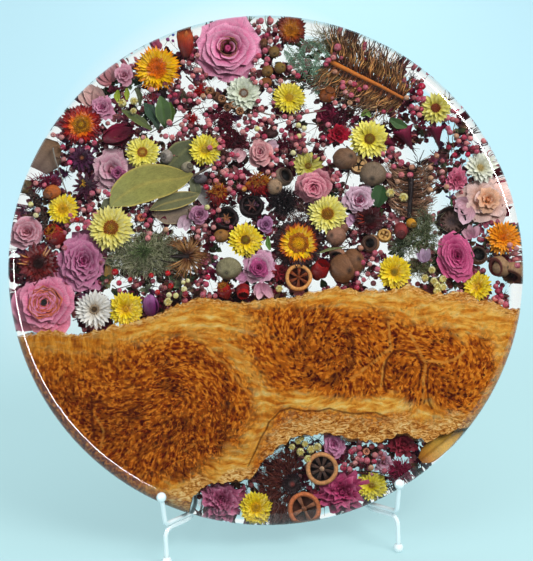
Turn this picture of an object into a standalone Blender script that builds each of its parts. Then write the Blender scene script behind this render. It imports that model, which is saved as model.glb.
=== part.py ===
"""Round clear-resin disc with a live-edge burl wood slab and dried flowers,
leaning back on a white wire display stand.

Metres, +Z up.  The ground is z = 0, the decorated face looks towards -Y and
x = 0 is the plane of symmetry of the stand.  The origin is on the ground under
the middle of the bounding box.
"""
import math

import bpy
import bmesh
from mathutils import Matrix, Vector

# ----------------------------------------------------------------- dimensions
DISC_R = 0.250            # disc radius
DISC_T = 0.034            # disc thickness
EDGE_R = 0.0127           # half-inch round-over on both faces
LEAN = math.radians(17)   # the disc leans back by this angle
FRONT_LOW_Z = 0.0283      # height of the lowest point of the front face's plane circle
Y_SHIFT = -0.07926        # moves the whole object so that its box is centred on the origin
SEAM = 0.00022            # half of the gap between the wood and each resin casting
RIM_STEPS = 96

WIRE_R = 0.0022           # 4.4 mm white wire
BALL_R = 0.0045           # 9 mm ball tips and ball feet
SOCKET_R = 0.0025         # blind hole in each ball
SOCKET_END = 0.0007       # height of the hole's end above the ball's centre
SOCKET_GAP = 0.0003
FOOT_FLAT_R = 0.0024      # small ground flat under each foot
GAP = 0.0003

HOOK_BALL = Vector((0.1072, -0.0125, 0.0676))
HOOK_LOW = Vector((0.1056, -0.0054, 0.0389))
ARM_INWARD = math.radians(30.5)   # the arms converge towards the back
ARM_DROP = 0.164                  # and fall by this much per metre of depth
ARM_BACK_Y = 0.0417               # depth of the bend from arm to back post
POST_TOP = 0.188                  # height of the arch above the disc's low point, along the disc
POST_CORNER = 0.042
FOOT_FRONT = Vector((0.1064, -0.0050, 0.0))
FOOT_REAR = Vector((0.0640, 0.1500, 0.0))
LEG_BELOW_ARM = 0.0049            # the leg wire runs just under the arm
LEG_REAR_TOP_Z = 0.0250

# The two live edges of the wood, in the disc's own plane (x across, y up the
# disc, from its centre).
UPPER_EDGE = [
    (-0.275, -0.0640), (-0.237, -0.0625), (-0.204, -0.0600), (-0.185, -0.0640), (-0.162, -0.0610),
    (-0.145, -0.0575), (-0.115, -0.0525), (-0.100, -0.0470), (-0.081, -0.0390), (-0.066, -0.0360),
    (-0.043, -0.0400), (-0.024, -0.0420), (-0.003, -0.0400), (0.026, -0.0400), (0.041, -0.0350),
    (0.068, -0.0320), (0.085, -0.0365), (0.099, -0.0355), (0.114, -0.0380), (0.134, -0.0335),
    (0.147, -0.0390), (0.168, -0.0420), (0.186, -0.0425), (0.198, -0.0495), (0.213, -0.0515),
    (0.225, -0.0600), (0.240, -0.0600), (0.275, -0.0580)]
LOWER_EDGE = [
    (-0.096, -0.2750), (-0.087, -0.2450), (-0.082, -0.2220), (-0.075, -0.2140), (-0.064, -0.2085),
    (-0.050, -0.2072), (-0.035, -0.2075), (-0.025, -0.2030), (-0.016, -0.1920), (-0.005, -0.1830),
    (0.010, -0.1735), (0.028, -0.1698), (0.045, -0.1690), (0.061, -0.1720), (0.076, -0.1740),
    (0.092, -0.1795), (0.106, -0.1750), (0.121, -0.1710), (0.133, -0.1790), (0.146, -0.1790),
    (0.167, -0.1700), (0.185, -0.1720), (0.215, -0.1800)]

# ----------------------------------------------------------------- clean start
for old in list(bpy.data.objects):
    bpy.data.objects.remove(old, do_unlink=True)

parts = bpy.data.collections.new("resin_flower_disc_on_stand")
tools = bpy.data.collections.new("cutters")
bpy.context.scene.collection.children.link(parts)
bpy.context.scene.collection.children.link(tools)


def material(name, colour, roughness, metallic=0.0, transmission=0.0, ior=1.5):
    mat = bpy.data.materials.new(name)
    mat.use_nodes = True
    bsdf = mat.node_tree.nodes["Principled BSDF"]
    bsdf.inputs["Base Color"].default_value = (*colour, 1.0)
    bsdf.inputs["Roughness"].default_value = roughness
    bsdf.inputs["Metallic"].default_value = metallic
    bsdf.inputs["Transmission Weight"].default_value = transmission
    bsdf.inputs["IOR"].default_value = ior
    mat.diffuse_color = (*colour, 1.0)
    return mat


RESIN = material("clear_resin", (0.93, 0.96, 0.96), 0.03, transmission=1.0, ior=1.52)
WOOD = material("burl_wood", (0.42, 0.20, 0.07), 0.22)
WHITE = material("white_enamel", (0.86, 0.90, 0.90), 0.25)


# ----------------------------------------------------------------- helpers
def disc_centre():
    low = Vector((0.0, Y_SHIFT, FRONT_LOW_Z))
    along = Vector((0.0, math.sin(LEAN), math.cos(LEAN)))
    front = Vector((0.0, -math.cos(LEAN), math.sin(LEAN)))
    return low + along * DISC_R - front * (DISC_T / 2)


def smooth_line(points, steps):
    """Catmull-Rom curve through the points."""
    out = []
    pts = [Vector(p) for p in points]
    for i in range(len(pts) - 1):
        p0 = pts[max(i - 1, 0)]
        p1, p2 = pts[i], pts[i + 1]
        p3 = pts[min(i + 2, len(pts) - 1)]
        for k in range(steps):
            t = k / steps
            out.append(0.5 * ((2 * p1) + (p2 - p0) * t + (2 * p0 - 5 * p1 + 4 * p2 - p3) * t * t
                              + (3 * p1 - p0 - 3 * p2 + p3) * t ** 3))
    out.append(pts[-1])
    return out


def offset_line(points, distance):
    """Moves a line sideways, to its left when distance is positive."""
    out = []
    for i, p in enumerate(points):
        before = points[max(i - 1, 0)]
        after = points[min(i + 1, len(points) - 1)]
        run = (after - before).normalized()
        out.append(p + Vector((-run.y, run.x)) * distance)
    return out


def fillet(points, radii, steps=6):
    """Polyline through the points with its inner corners rounded."""
    out = [points[0].copy()]
    for i in range(1, len(points) - 1):
        p = points[i]
        a = (points[i - 1] - p).normalized()
        b = (points[i + 1] - p).normalized()
        half = a.angle(b) / 2
        r = radii[i - 1]
        reach = r / math.tan(half)
        centre = p + (a + b).normalized() * (r / math.sin(half))
        start, end = p + a * reach - centre, p + b * reach - centre
        sweep = start.angle(end)
        for k in range(steps + 1):
            t = k / steps
            v = (start * math.sin((1 - t) * sweep) + end * math.sin(t * sweep)) / math.sin(sweep)
            out.append(centre + v)
    out.append(points[-1].copy())
    return out


def wire(name, points, shift=Vector((0.0, 0.0, 0.0))):
    curve = bpy.data.curves.new(name, "CURVE")
    curve.dimensions = "3D"
    curve.bevel_depth = WIRE_R
    curve.bevel_resolution = 2
    curve.use_fill_caps = True
    curve.render_resolution_u = 0
    spline = curve.splines.new("POLY")
    spline.points.add(len(points) - 1)
    for dot, p in zip(spline.points, points):
        dot.co = (*p, 1.0)
    spline.use_smooth = True
    obj = bpy.data.objects.new(name, curve)
    obj.location = shift
    curve.materials.append(WHITE)
    parts.objects.link(obj)
    return obj


def turned(name, profile, steps, collection):
    """A profile in the XZ plane turned about Z with a Screw modifier."""
    mesh = bpy.data.meshes.new(name)
    bm = bmesh.new()
    last = None
    for x, z in profile:
        vert = bm.verts.new((x, 0.0, z))
        if last:
            bm.edges.new((last, vert))
        last = vert
    bm.to_mesh(mesh)
    bm.free()
    obj = bpy.data.objects.new(name, mesh)
    collection.objects.link(obj)
    screw = obj.modifiers.new("turn", "SCREW")
    screw.axis = "Z"
    screw.angle = math.tau
    screw.steps = steps
    screw.render_steps = steps
    screw.use_merge_vertices = True
    screw.merge_threshold = 0.00001
    screw.use_smooth_shade = True
    return obj


def applied(obj, name, collection):
    """The evaluated mesh of an object as a plain mesh object of its own."""
    bpy.context.view_layer.update()
    shape = obj.evaluated_get(bpy.context.evaluated_depsgraph_get())
    mesh = bpy.data.meshes.new_from_object(shape)
    bm = bmesh.new()
    bm.from_mesh(mesh)
    bmesh.ops.remove_doubles(bm, verts=bm.verts, dist=0.000002)
    bmesh.ops.recalc_face_normals(bm, faces=bm.faces)
    bm.to_mesh(mesh)
    bm.free()
    new = bpy.data.objects.new(name, mesh)
    new.matrix_world = obj.matrix_world.copy()
    collection.objects.link(new)
    bpy.data.objects.remove(obj, do_unlink=True)
    return new


def prism(name, outline, half_depth):
    """A flat outline made solid, as a mesh cutter."""
    curve = bpy.data.curves.new(name, "CURVE")
    curve.dimensions = "2D"
    curve.fill_mode = "BOTH"
    curve.extrude = half_depth
    curve.render_resolution_u = 0
    spline = curve.splines.new("POLY")
    spline.points.add(len(outline) - 1)
    for dot, p in zip(spline.points, outline):
        dot.co = (p[0], p[1], 0.0, 1.0)
    spline.use_cyclic_u = True
    obj = bpy.data.objects.new(name + "_outline", curve)
    tools.objects.link(obj)
    cutter = applied(obj, name, tools)
    cutter.hide_render = True
    cutter.display_type = "WIRE"
    return cutter


# ----------------------------------------------------------------- the disc
frame = bpy.data.objects.new("disc_plane", None)
parts.objects.link(frame)
frame.location = disc_centre()
frame.rotation_euler = (math.pi / 2 - LEAN, 0.0, 0.0)   # local Z points out of the decorated face

profile = [(0.0, DISC_T / 2)]
for k in range(5):
    a = math.pi / 2 * k / 4
    profile.append((DISC_R - EDGE_R + EDGE_R * math.sin(a), DISC_T / 2 - EDGE_R + EDGE_R * math.cos(a)))
for k in range(5):
    a = math.pi / 2 * k / 4
    profile.append((DISC_R - EDGE_R + EDGE_R * math.cos(a), -DISC_T / 2 + EDGE_R - EDGE_R * math.sin(a)))
profile.append((0.0, -DISC_T / 2))

upper = smooth_line(UPPER_EDGE, 2)
lower = smooth_line(LOWER_EDGE, 2)
FAR = 0.30
outlines = {
    "resin_upper": offset_line(upper, SEAM) + [Vector((FAR, FAR)), Vector((-FAR, FAR))],
    "burl_slab": (offset_line(lower, SEAM)
                  + [Vector((FAR, -0.185)), Vector((FAR, -0.0578))]
                  + list(reversed(offset_line(upper, -SEAM)))
                  + [Vector((-FAR, -0.0642)), Vector((-FAR, -FAR))]),
    "resin_lower": (list(reversed(offset_line(lower, -SEAM)))
                    + [Vector((-0.090, -FAR)), Vector((0.215, -FAR))]),
}
for name, outline in outlines.items():
    cutter = prism("cut_" + name, outline, DISC_T)
    piece = applied(turned(name + "_blank", profile, RIM_STEPS, parts), name, parts)
    piece.data.materials.clear()
    piece.data.materials.append(WOOD if name == "burl_slab" else RESIN)
    cut = piece.modifiers.new("live edge", "BOOLEAN")
    cut.operation = "INTERSECT"
    cut.solver = "EXACT"
    cut.object = cutter
    piece.data.shade_smooth()
    piece.parent = frame
    cutter.parent = frame

# ----------------------------------------------------------------- the stand
shift = Vector((0.0, Y_SHIFT, 0.0))


def side(p, s):
    return Vector((p[0] * s, p[1], p[2]))


def arm_point(y, below=0.0):
    run = y - HOOK_LOW.y
    return Vector((HOOK_LOW.x - run * math.tan(ARM_INWARD), y, HOOK_LOW.z - run * ARM_DROP - below))


up_disc = Vector((0.0, math.sin(LEAN), math.cos(LEAN)))
behind = Vector((0.0, math.cos(LEAN), -math.sin(LEAN)))


def back_plane(x, along):
    """Axis of a wire lying against the disc's back, at a height along the disc."""
    return (Vector((x, 0.0, FRONT_LOW_Z)) + up_disc * along
            + behind * (DISC_T + WIRE_R + GAP))


hook_dir = (HOOK_BALL - HOOK_LOW).normalized()
hook_end = HOOK_BALL - hook_dir * (SOCKET_END + SOCKET_GAP)
bend = arm_point(ARM_BACK_Y)
# slide the post's foot along the arm until it meets the plane of the posts
for _ in range(20):
    along = (bend.z - FRONT_LOW_Z + behind.z * -(DISC_T + WIRE_R + GAP)) / up_disc.z
    bend = arm_point(back_plane(0.0, along).y)
post_x = bend.x
half = [hook_end, HOOK_LOW, bend, back_plane(post_x, POST_TOP), back_plane(0.0, POST_TOP)]
half_line = fillet(half, [0.0065, 0.0080, POST_CORNER], 6)
cradle = [side(p, -1) for p in half_line] + list(reversed(half_line))[1:]
# more stations on the long straight runs keep the facets even
wire("cradle_wire", cradle, shift)

FOOT_Z = math.sqrt(BALL_R ** 2 - FOOT_FLAT_R ** 2)
for tag, s in (("left", -1), ("right", 1)):
    leg_front_top = Vector((FOOT_FRONT.x - 0.0002, FOOT_FRONT.y - 0.0003, HOOK_LOW.z - LEG_BELOW_ARM))
    turn_back = arm_point(bend.y - 0.010, LEG_BELOW_ARM)
    rear_top = Vector((FOOT_REAR.x, FOOT_REAR.y, LEG_REAR_TOP_Z))
    leg = [Vector((FOOT_FRONT.x, FOOT_FRONT.y, FOOT_Z + SOCKET_END + SOCKET_GAP)),
           leg_front_top, turn_back, rear_top,
           Vector((FOOT_REAR.x, FOOT_REAR.y, FOOT_Z + SOCKET_END + SOCKET_GAP))]
    wire(tag + "_leg_wire", [side(p, s) for p in fillet(leg, [0.0070, 0.060, 0.0080], 6)], shift)


def ball(name, centre, axis, flat):
    profile = [(0.0, SOCKET_END), (SOCKET_R, SOCKET_END)]
    start = math.acos(math.sqrt(BALL_R ** 2 - SOCKET_R ** 2) / BALL_R)
    end = math.pi - (math.asin(FOOT_FLAT_R / BALL_R) if flat else 0.0)
    steps = 9
    for k in range(steps + 1):
        a = start + (end - start) * k / steps
        profile.append((BALL_R * math.sin(a), BALL_R * math.cos(a)))
    if flat:
        profile.append((0.0, -FOOT_Z))
    else:
        profile[-1] = (0.0, -BALL_R)
    obj = turned(name + "_blank", profile, 20, parts)
    obj = applied(obj, name, parts)
    obj.data.materials.clear()
    obj.data.materials.append(WHITE)
    obj.data.shade_smooth()
    obj.data.set_sharp_from_angle(angle=math.radians(50))
    obj.location = centre + shift
    obj.rotation_euler = axis.to_track_quat("Z", "Y").to_euler()
    return obj


for tag, s in (("left", -1), ("right", 1)):
    ball("hook_ball_" + tag, side(HOOK_BALL, s), -side(hook_dir, s), False)
    ball("foot_ball_front_" + tag, Vector((FOOT_FRONT.x * s, FOOT_FRONT.y, FOOT_Z)), Vector((0, 0, 1)), True)
    ball("foot_ball_rear_" + tag, Vector((FOOT_REAR.x * s, FOOT_REAR.y, FOOT_Z)), Vector((0, 0, 1)), True)
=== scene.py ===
"""Looks of the round resin and burl disc with dried flowers on its wire stand."""
import math
import random

import bpy
import numpy as np
from mathutils import Matrix, Vector


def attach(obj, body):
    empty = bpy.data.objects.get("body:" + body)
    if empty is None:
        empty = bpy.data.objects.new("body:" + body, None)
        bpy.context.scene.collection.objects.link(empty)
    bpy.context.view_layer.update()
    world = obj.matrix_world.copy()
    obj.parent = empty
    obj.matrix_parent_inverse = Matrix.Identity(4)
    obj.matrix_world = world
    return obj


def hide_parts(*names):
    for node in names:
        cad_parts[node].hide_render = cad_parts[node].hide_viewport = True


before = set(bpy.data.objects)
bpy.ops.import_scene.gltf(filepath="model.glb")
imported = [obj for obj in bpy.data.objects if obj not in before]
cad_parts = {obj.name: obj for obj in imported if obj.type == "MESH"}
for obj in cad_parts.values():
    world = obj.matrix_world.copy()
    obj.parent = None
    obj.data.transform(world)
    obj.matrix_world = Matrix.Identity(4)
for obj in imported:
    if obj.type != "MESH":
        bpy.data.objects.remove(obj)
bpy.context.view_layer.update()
TAU = math.tau

# ---------------------------------------------------------------- dimensions
DISC_R, DISC_T, EDGE_R = 0.250, 0.034, 0.0127
LEAN = math.radians(17)
Y_SHIFT, FRONT_LOW_Z = -0.07926, 0.0283
UP = Vector((0.0, math.sin(LEAN), math.cos(LEAN)))
OUT = Vector((0.0, -math.cos(LEAN), math.sin(LEAN)))
FACE = Vector((0.0, Y_SHIFT, FRONT_LOW_Z)) + UP * DISC_R          # centre of the front face
MID = FACE - OUT * (DISC_T / 2)
DISC_M = Matrix(((1, UP.x, OUT.x, MID.x), (0, UP.y, OUT.y, MID.y), (0, UP.z, OUT.z, MID.z), (0, 0, 0, 1)))
WIRE_R, BALL_R = 0.0022, 0.0045

scene = bpy.context.scene

# ---------------------------------------------------------------- camera
PHOTO_W, PHOTO_H = 533, 561
F_PX, PP = 937.77, (267.86, 257.83)
AZ, EL, ROLL, DIST = map(math.radians, (-2.027, 8.038, -2.365, 0.0))
DIST = 0.900
back = Vector((math.sin(AZ) * math.cos(EL), -math.cos(AZ) * math.cos(EL), math.sin(EL)))
CAM_POS = FACE + back * DIST
fwd = -back
right = fwd.cross(Vector((0, 0, 1))).normalized()
upc = right.cross(fwd)
CAM_X = right * math.cos(ROLL) + upc * math.sin(ROLL)
CAM_Y = -right * math.sin(ROLL) + upc * math.cos(ROLL)
cam_data = bpy.data.cameras.new("camera")
cam = bpy.data.objects.new("camera", cam_data)
scene.collection.objects.link(cam)
cam.matrix_world = Matrix(((CAM_X.x, CAM_Y.x, back.x, CAM_POS.x), (CAM_X.y, CAM_Y.y, back.y, CAM_POS.y),
                           (CAM_X.z, CAM_Y.z, back.z, CAM_POS.z), (0, 0, 0, 1)))
cam_data.sensor_fit = "VERTICAL"
cam_data.sensor_height = 36.0
cam_data.lens = F_PX / PHOTO_H * 36.0
cam_data.shift_x = (PHOTO_W / 2 - PP[0]) / PHOTO_H
cam_data.shift_y = (PP[1] - PHOTO_H / 2) / PHOTO_H
cam_data.clip_end = 50
scene.camera = cam


def at(px, py, depth=0.0):
    """Point in the disc's own frame (x across, y up, z out of the face, metres)
    that shows at a place in the picture, at a depth in metres behind the face."""
    v = (fwd + CAM_X * ((px - PP[0]) / F_PX) - CAM_Y * ((py - PP[1]) / F_PX)).normalized()
    t = (FACE - CAM_POS).dot(OUT) / v.dot(OUT)
    q = CAM_POS + v * t
    if depth > 0:
        eta = 1 / 1.5
        c = -v.dot(OUT)
        w = v * eta + OUT * (eta * c - math.sqrt(1 - eta * eta * (1 - c * c)))
        q = q + w * (depth / -w.dot(OUT))
    w = q - FACE
    return np.array((w.x, w.dot(UP), DISC_T / 2 - depth))


MM_PX = 0.00096  # metres on the disc for one pixel of the picture


# ---------------------------------------------------------------- materials
def srgb(r, g, b):
    def f(c):
        c /= 255
        return c / 12.92 if c <= 0.04045 else ((c + 0.055) / 1.055) ** 2.4
    return (f(r), f(g), f(b))


class Nodes:
    """Short helper for node materials."""

    def __init__(self, name):
        self.mat = bpy.data.materials.new(name)
        self.mat.use_nodes = True
        self.tree = self.mat.node_tree
        self.bsdf = self.tree.nodes["Principled BSDF"]
        self.coord = None

    def node(self, kind, **values):
        n = self.tree.nodes.new(kind)
        for k, v in values.items():
            setattr(n, k, v)
        return n

    def link(self, a, b):
        self.tree.links.new(a, b)

    def obj(self):
        if self.coord is None:
            self.coord = self.node("ShaderNodeTexCoord")
        return self.coord.outputs["Object"]

    def mapped(self, scale=(1, 1, 1), location=(0, 0, 0), rotation=(0, 0, 0), vector=None):
        m = self.node("ShaderNodeMapping")
        m.inputs["Scale"].default_value = scale
        m.inputs["Location"].default_value = location
        m.inputs["Rotation"].default_value = rotation
        self.link(vector or self.obj(), m.inputs["Vector"])
        return m.outputs["Vector"]

    def noise(self, scale, detail=4.0, rough=0.55, distort=0.0, vector=None, colour=False):
        n = self.node("ShaderNodeTexNoise")
        n.inputs["Scale"].default_value = scale
        n.inputs["Detail"].default_value = detail
        n.inputs["Roughness"].default_value = rough
        n.inputs["Distortion"].default_value = distort
        self.link(vector or self.obj(), n.inputs["Vector"])
        return n.outputs["Color" if colour else "Fac"]

    def ramp(self, fac, stops, interpolation="LINEAR"):
        r = self.node("ShaderNodeValToRGB")
        r.color_ramp.interpolation = interpolation
        e = r.color_ramp.elements
        while len(e) < len(stops):
            e.new(0.5)
        for el, (pos, col) in zip(e, stops):
            el.position = pos
            el.color = (*col, 1.0) if len(col) == 3 else col
        self.link(fac, r.inputs["Fac"])
        return r.outputs["Color"]

    def math(self, op, a, b=None, c=None, clamp=False):
        m = self.node("ShaderNodeMath", operation=op, use_clamp=clamp)
        for i, v in enumerate((a, b, c)):
            if v is None:
                continue
            if isinstance(v, (int, float)):
                m.inputs[i].default_value = v
            else:
                self.link(v, m.inputs[i])
        return m.outputs[0]

    def vmath(self, op, a, b=None, scale=None):
        m = self.node("ShaderNodeVectorMath", operation=op)
        for i, v in enumerate((a, b)):
            if v is None:
                continue
            if isinstance(v, (tuple, list)):
                m.inputs[i].default_value = v
            else:
                self.link(v, m.inputs[i])
        if scale is not None:
            if isinstance(scale, (int, float)):
                m.inputs["Scale"].default_value = scale
            else:
                self.link(scale, m.inputs["Scale"])
        return m.outputs["Value"] if op in ("LENGTH", "DISTANCE", "DOT_PRODUCT") else m.outputs["Vector"]

    def mix(self, fac, a, b, mode="MIX"):
        m = self.node("ShaderNodeMix", data_type="RGBA", blend_type=mode)
        for sock, v in ((m.inputs[0], fac), (m.inputs[6], a), (m.inputs[7], b)):
            if isinstance(v, (int, float)):
                sock.default_value = v
            elif isinstance(v, (tuple, list)):
                sock.default_value = (*v, 1.0) if len(v) == 3 else v
            else:
                self.link(v, sock)
        return m.outputs[2]

    def bump(self, height, strength=0.3, distance=0.001):
        b = self.node("ShaderNodeBump")
        b.inputs["Strength"].default_value = strength
        b.inputs["Distance"].default_value = distance
        self.link(height, b.inputs["Height"])
        self.link(b.outputs["Normal"], self.bsdf.inputs["Normal"])
        return b

    def set(self, **values):
        names = {"rough": "Roughness", "metal": "Metallic", "spec": "Specular IOR Level", "ior": "IOR",
                 "trans": "Transmission Weight", "coat": "Coat Weight", "coat_rough": "Coat Roughness",
                 "sheen": "Sheen Weight", "sss": "Subsurface Weight"}
        for k, v in values.items():
            self.bsdf.inputs[names[k]].default_value = v


# clear casting resin
n = Nodes("clear_resin_visual")
n.bsdf.inputs["Base Color"].default_value = (1.0, 1.0, 1.0, 1.0)
n.set(rough=0.0, trans=1.0, ior=1.5)
RESIN = n.mat

# white enamel wire
n = Nodes("white_enamel_visual")
f = n.noise(900.0, 2.0, 0.5)
c = n.ramp(n.noise(45.0, 3.0, 0.5), [(0.35, srgb(236, 246, 248)), (0.7, srgb(226, 241, 245))])
n.link(c, n.bsdf.inputs["Base Color"])
n.set(rough=0.22, spec=0.5, coat=0.5, coat_rough=0.08)
n.bump(f, 0.12, 0.0002)
WHITE = n.mat


# ---------------------------------------------------------------- mesh tools
class Build:
    """Collects vertices, faces and vertex colours for one object."""

    def __init__(self):
        self.v, self.f, self.c, self.m, self.n = [], [], [], [], 0

    def add(self, verts, faces, colours, mat=0):
        verts = np.asarray(verts, float).reshape(-1, 3)
        colours = np.asarray(colours, float)
        if colours.ndim == 1:
            colours = np.tile(colours, (len(verts), 1))
        self.v.append(verts)
        self.c.append(colours.reshape(-1, 3))
        for face in faces:
            self.f.append(tuple(int(i) + self.n for i in face))
            self.m.append(mat)
        self.n += len(verts)

    def grid(self, p, colours, mat=0, closed_u=False, closed_v=False):
        """p is (rows, columns, 3)."""
        a, b = p.shape[:2]
        faces = []
        for i in range(a if closed_u else a - 1):
            i2 = (i + 1) % a
            for j in range(b if closed_v else b - 1):
                j2 = (j + 1) % b
                faces.append((i * b + j, i * b + j2, i2 * b + j2, i2 * b + j))
        colours = np.asarray(colours, float)
        if colours.ndim == 1:
            colours = np.tile(colours, (a * b, 1))
        self.add(p.reshape(-1, 3), faces, colours.reshape(-1, 3), mat)

    def object(self, name, mats, matrix=DISC_M, smooth=True, slot=None):
        mesh = bpy.data.meshes.new(name)
        v = np.concatenate(self.v)
        mesh.from_pydata(v.tolist(), [], self.f)
        attr = mesh.color_attributes.new("tint", "FLOAT_COLOR", "POINT")
        rgba = np.ones((len(v), 4), np.float32)
        rgba[:, :3] = np.clip(np.concatenate(self.c), 0, 1)
        attr.data.foreach_set("color", rgba.ravel())
        for m in (mats if isinstance(mats, (list, tuple)) else [mats]):
            mesh.materials.append(m)
        mesh.polygons.foreach_set("material_index", np.array(self.m, np.int32))
        mesh.polygons.foreach_set("use_smooth", np.full(len(self.f), smooth, bool))
        mesh.update()
        obj = bpy.data.objects.new(name, mesh)
        scene.collection.objects.link(obj)
        obj.matrix_world = matrix
        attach(obj, "root")
        return obj


def lathe(profile, steps):
    """(radius, z) points turned about Z: a grid of rows by steps."""
    a = np.linspace(0, TAU, steps, endpoint=False)
    prof = np.asarray(profile, float)
    return np.stack([prof[:, None, 0] * np.cos(a), prof[:, None, 0] * np.sin(a),
                     np.repeat(prof[:, None, 1], steps, 1)], -1)


# ---------------------------------------------------------------- the resin disc
def disc_profile(inset=0.0, steps=14):
    r, h, e = DISC_R - inset, DISC_T / 2 - inset, EDGE_R - inset
    prof = [(0.0005, h), (r * 0.5, h), (r - e - 0.0006, h)]
    prof += [(r - e + e * math.sin(a), h - e + e * math.cos(a)) for a in np.linspace(0, math.pi / 2, steps)]
    prof += [(r - e + e * math.cos(a), -h + e - e * math.sin(a)) for a in np.linspace(0, math.pi / 2, steps)]
    prof += [(r - e - 0.0006, -h), (r * 0.5, -h), (0.0005, -h)]
    return prof


def make_resin():
    steps = 384
    g = lathe(disc_profile(), steps)
    b = Build()
    b.grid(g[::-1], (1, 1, 1), closed_v=True)
    rows = g.shape[0]
    top, bottom = (rows - 1) * steps, 0
    b.f.append(tuple(top + k for k in range(steps)))
    b.m.append(0)
    b.f.append(tuple(bottom + k for k in range(steps))[::-1])
    b.m.append(0)
    o = b.object("resin_casting", RESIN, slot="clear_resin")
    o.visible_shadow = False
    return o


resin = make_resin()
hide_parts("resin_upper", "resin_lower")

# ---------------------------------------------------------------- the burl slab
UPPER_EDGE = [
    (-0.275, -0.0640), (-0.237, -0.0625), (-0.204, -0.0600), (-0.185, -0.0640), (-0.162, -0.0610),
    (-0.145, -0.0575), (-0.115, -0.0525), (-0.100, -0.0470), (-0.081, -0.0390), (-0.066, -0.0360),
    (-0.043, -0.0400), (-0.024, -0.0420), (-0.003, -0.0400), (0.026, -0.0400), (0.041, -0.0350),
    (0.068, -0.0320), (0.085, -0.0365), (0.099, -0.0355), (0.114, -0.0380), (0.134, -0.0335),
    (0.147, -0.0390), (0.168, -0.0420), (0.186, -0.0425), (0.198, -0.0495), (0.213, -0.0515),
    (0.225, -0.0600), (0.240, -0.0600), (0.275, -0.0580)]
LOWER_EDGE = [
    (-0.096, -0.2750), (-0.087, -0.2450), (-0.082, -0.2220), (-0.075, -0.2140), (-0.064, -0.2085),
    (-0.050, -0.2072), (-0.035, -0.2075), (-0.025, -0.2030), (-0.016, -0.1920), (-0.005, -0.1830),
    (0.010, -0.1735), (0.028, -0.1698), (0.045, -0.1690), (0.061, -0.1720), (0.076, -0.1740),
    (0.092, -0.1795), (0.106, -0.1750), (0.121, -0.1710), (0.133, -0.1790), (0.146, -0.1790),
    (0.167, -0.1700), (0.185, -0.1720), (0.215, -0.1800)]


def pix(u, v, depth=0.0):
    """Picture place of points on the disc, depth metres behind its face (straight view, arrays)."""
    u, v = np.asarray(u, float), np.asarray(v, float)
    depth = np.asarray(depth, float) / 1.5
    p = [FACE[k] + (u if k == 0 else 0) + v * UP[k] - depth * OUT[k] - CAM_POS[k] for k in range(3)]
    zz = p[0] * fwd.x + p[1] * fwd.y + p[2] * fwd.z
    xx = p[0] * CAM_X.x + p[1] * CAM_X.y + p[2] * CAM_X.z
    yy = p[0] * CAM_Y.x + p[1] * CAM_Y.y + p[2] * CAM_Y.z
    return PP[0] + F_PX * xx / zz, PP[1] - F_PX * yy / zz


def value_noise(x, seed):
    """Smooth 1D noise in -1..1, seeded."""
    rs = np.random.RandomState(seed)
    table = rs.uniform(-1, 1, 4096)
    i = np.floor(x).astype(int)
    t = x - i
    t = t * t * (3 - 2 * t)
    return table[i % 4096] * (1 - t) + table[(i + 1) % 4096] * t


def spline_y(points, x):
    """Smooth curve through points, read at x (points run left to right)."""
    px = np.array([p[0] for p in points])
    py = np.array([p[1] for p in points])
    m = np.gradient(py, px)
    i = np.clip(np.searchsorted(px, x) - 1, 0, len(px) - 2)
    h = px[i + 1] - px[i]
    t = (x - px[i]) / h
    return ((2 * t ** 3 - 3 * t ** 2 + 1) * py[i] + (t ** 3 - 2 * t ** 2 + t) * h * m[i]
            + (-2 * t ** 3 + 3 * t ** 2) * py[i + 1] + (t ** 3 - t ** 2) * h * m[i + 1])


def upper_v(u, seed=3, amp=1.0):
    spiky = np.abs(value_noise(u * 330, seed)) - 0.35
    left = np.clip((-0.12 - u) / 0.05, 0, 1)
    return (spline_y(UPPER_EDGE, u) + amp * (0.0016 * value_noise(u * 160, seed + 1) + 0.0013 * value_noise(u * 420, seed + 2)
                                            - 0.0022 * np.clip(spiky, 0, 1) * (0.6 + 1.2 * left)))


def lower_v(u, seed=13, amp=1.0):
    v = np.where(u < -0.0965, -0.30, spline_y(LOWER_EDGE, np.maximum(u, -0.096)))
    v = np.where(u > 0.170, spline_y(LOWER_EDGE, np.minimum(u, 0.214)), v)
    return v + amp * (0.0018 * value_noise(u * 150, seed) + 0.0012 * value_noise(u * 400, seed + 1))


INSET = 0.0003


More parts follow.
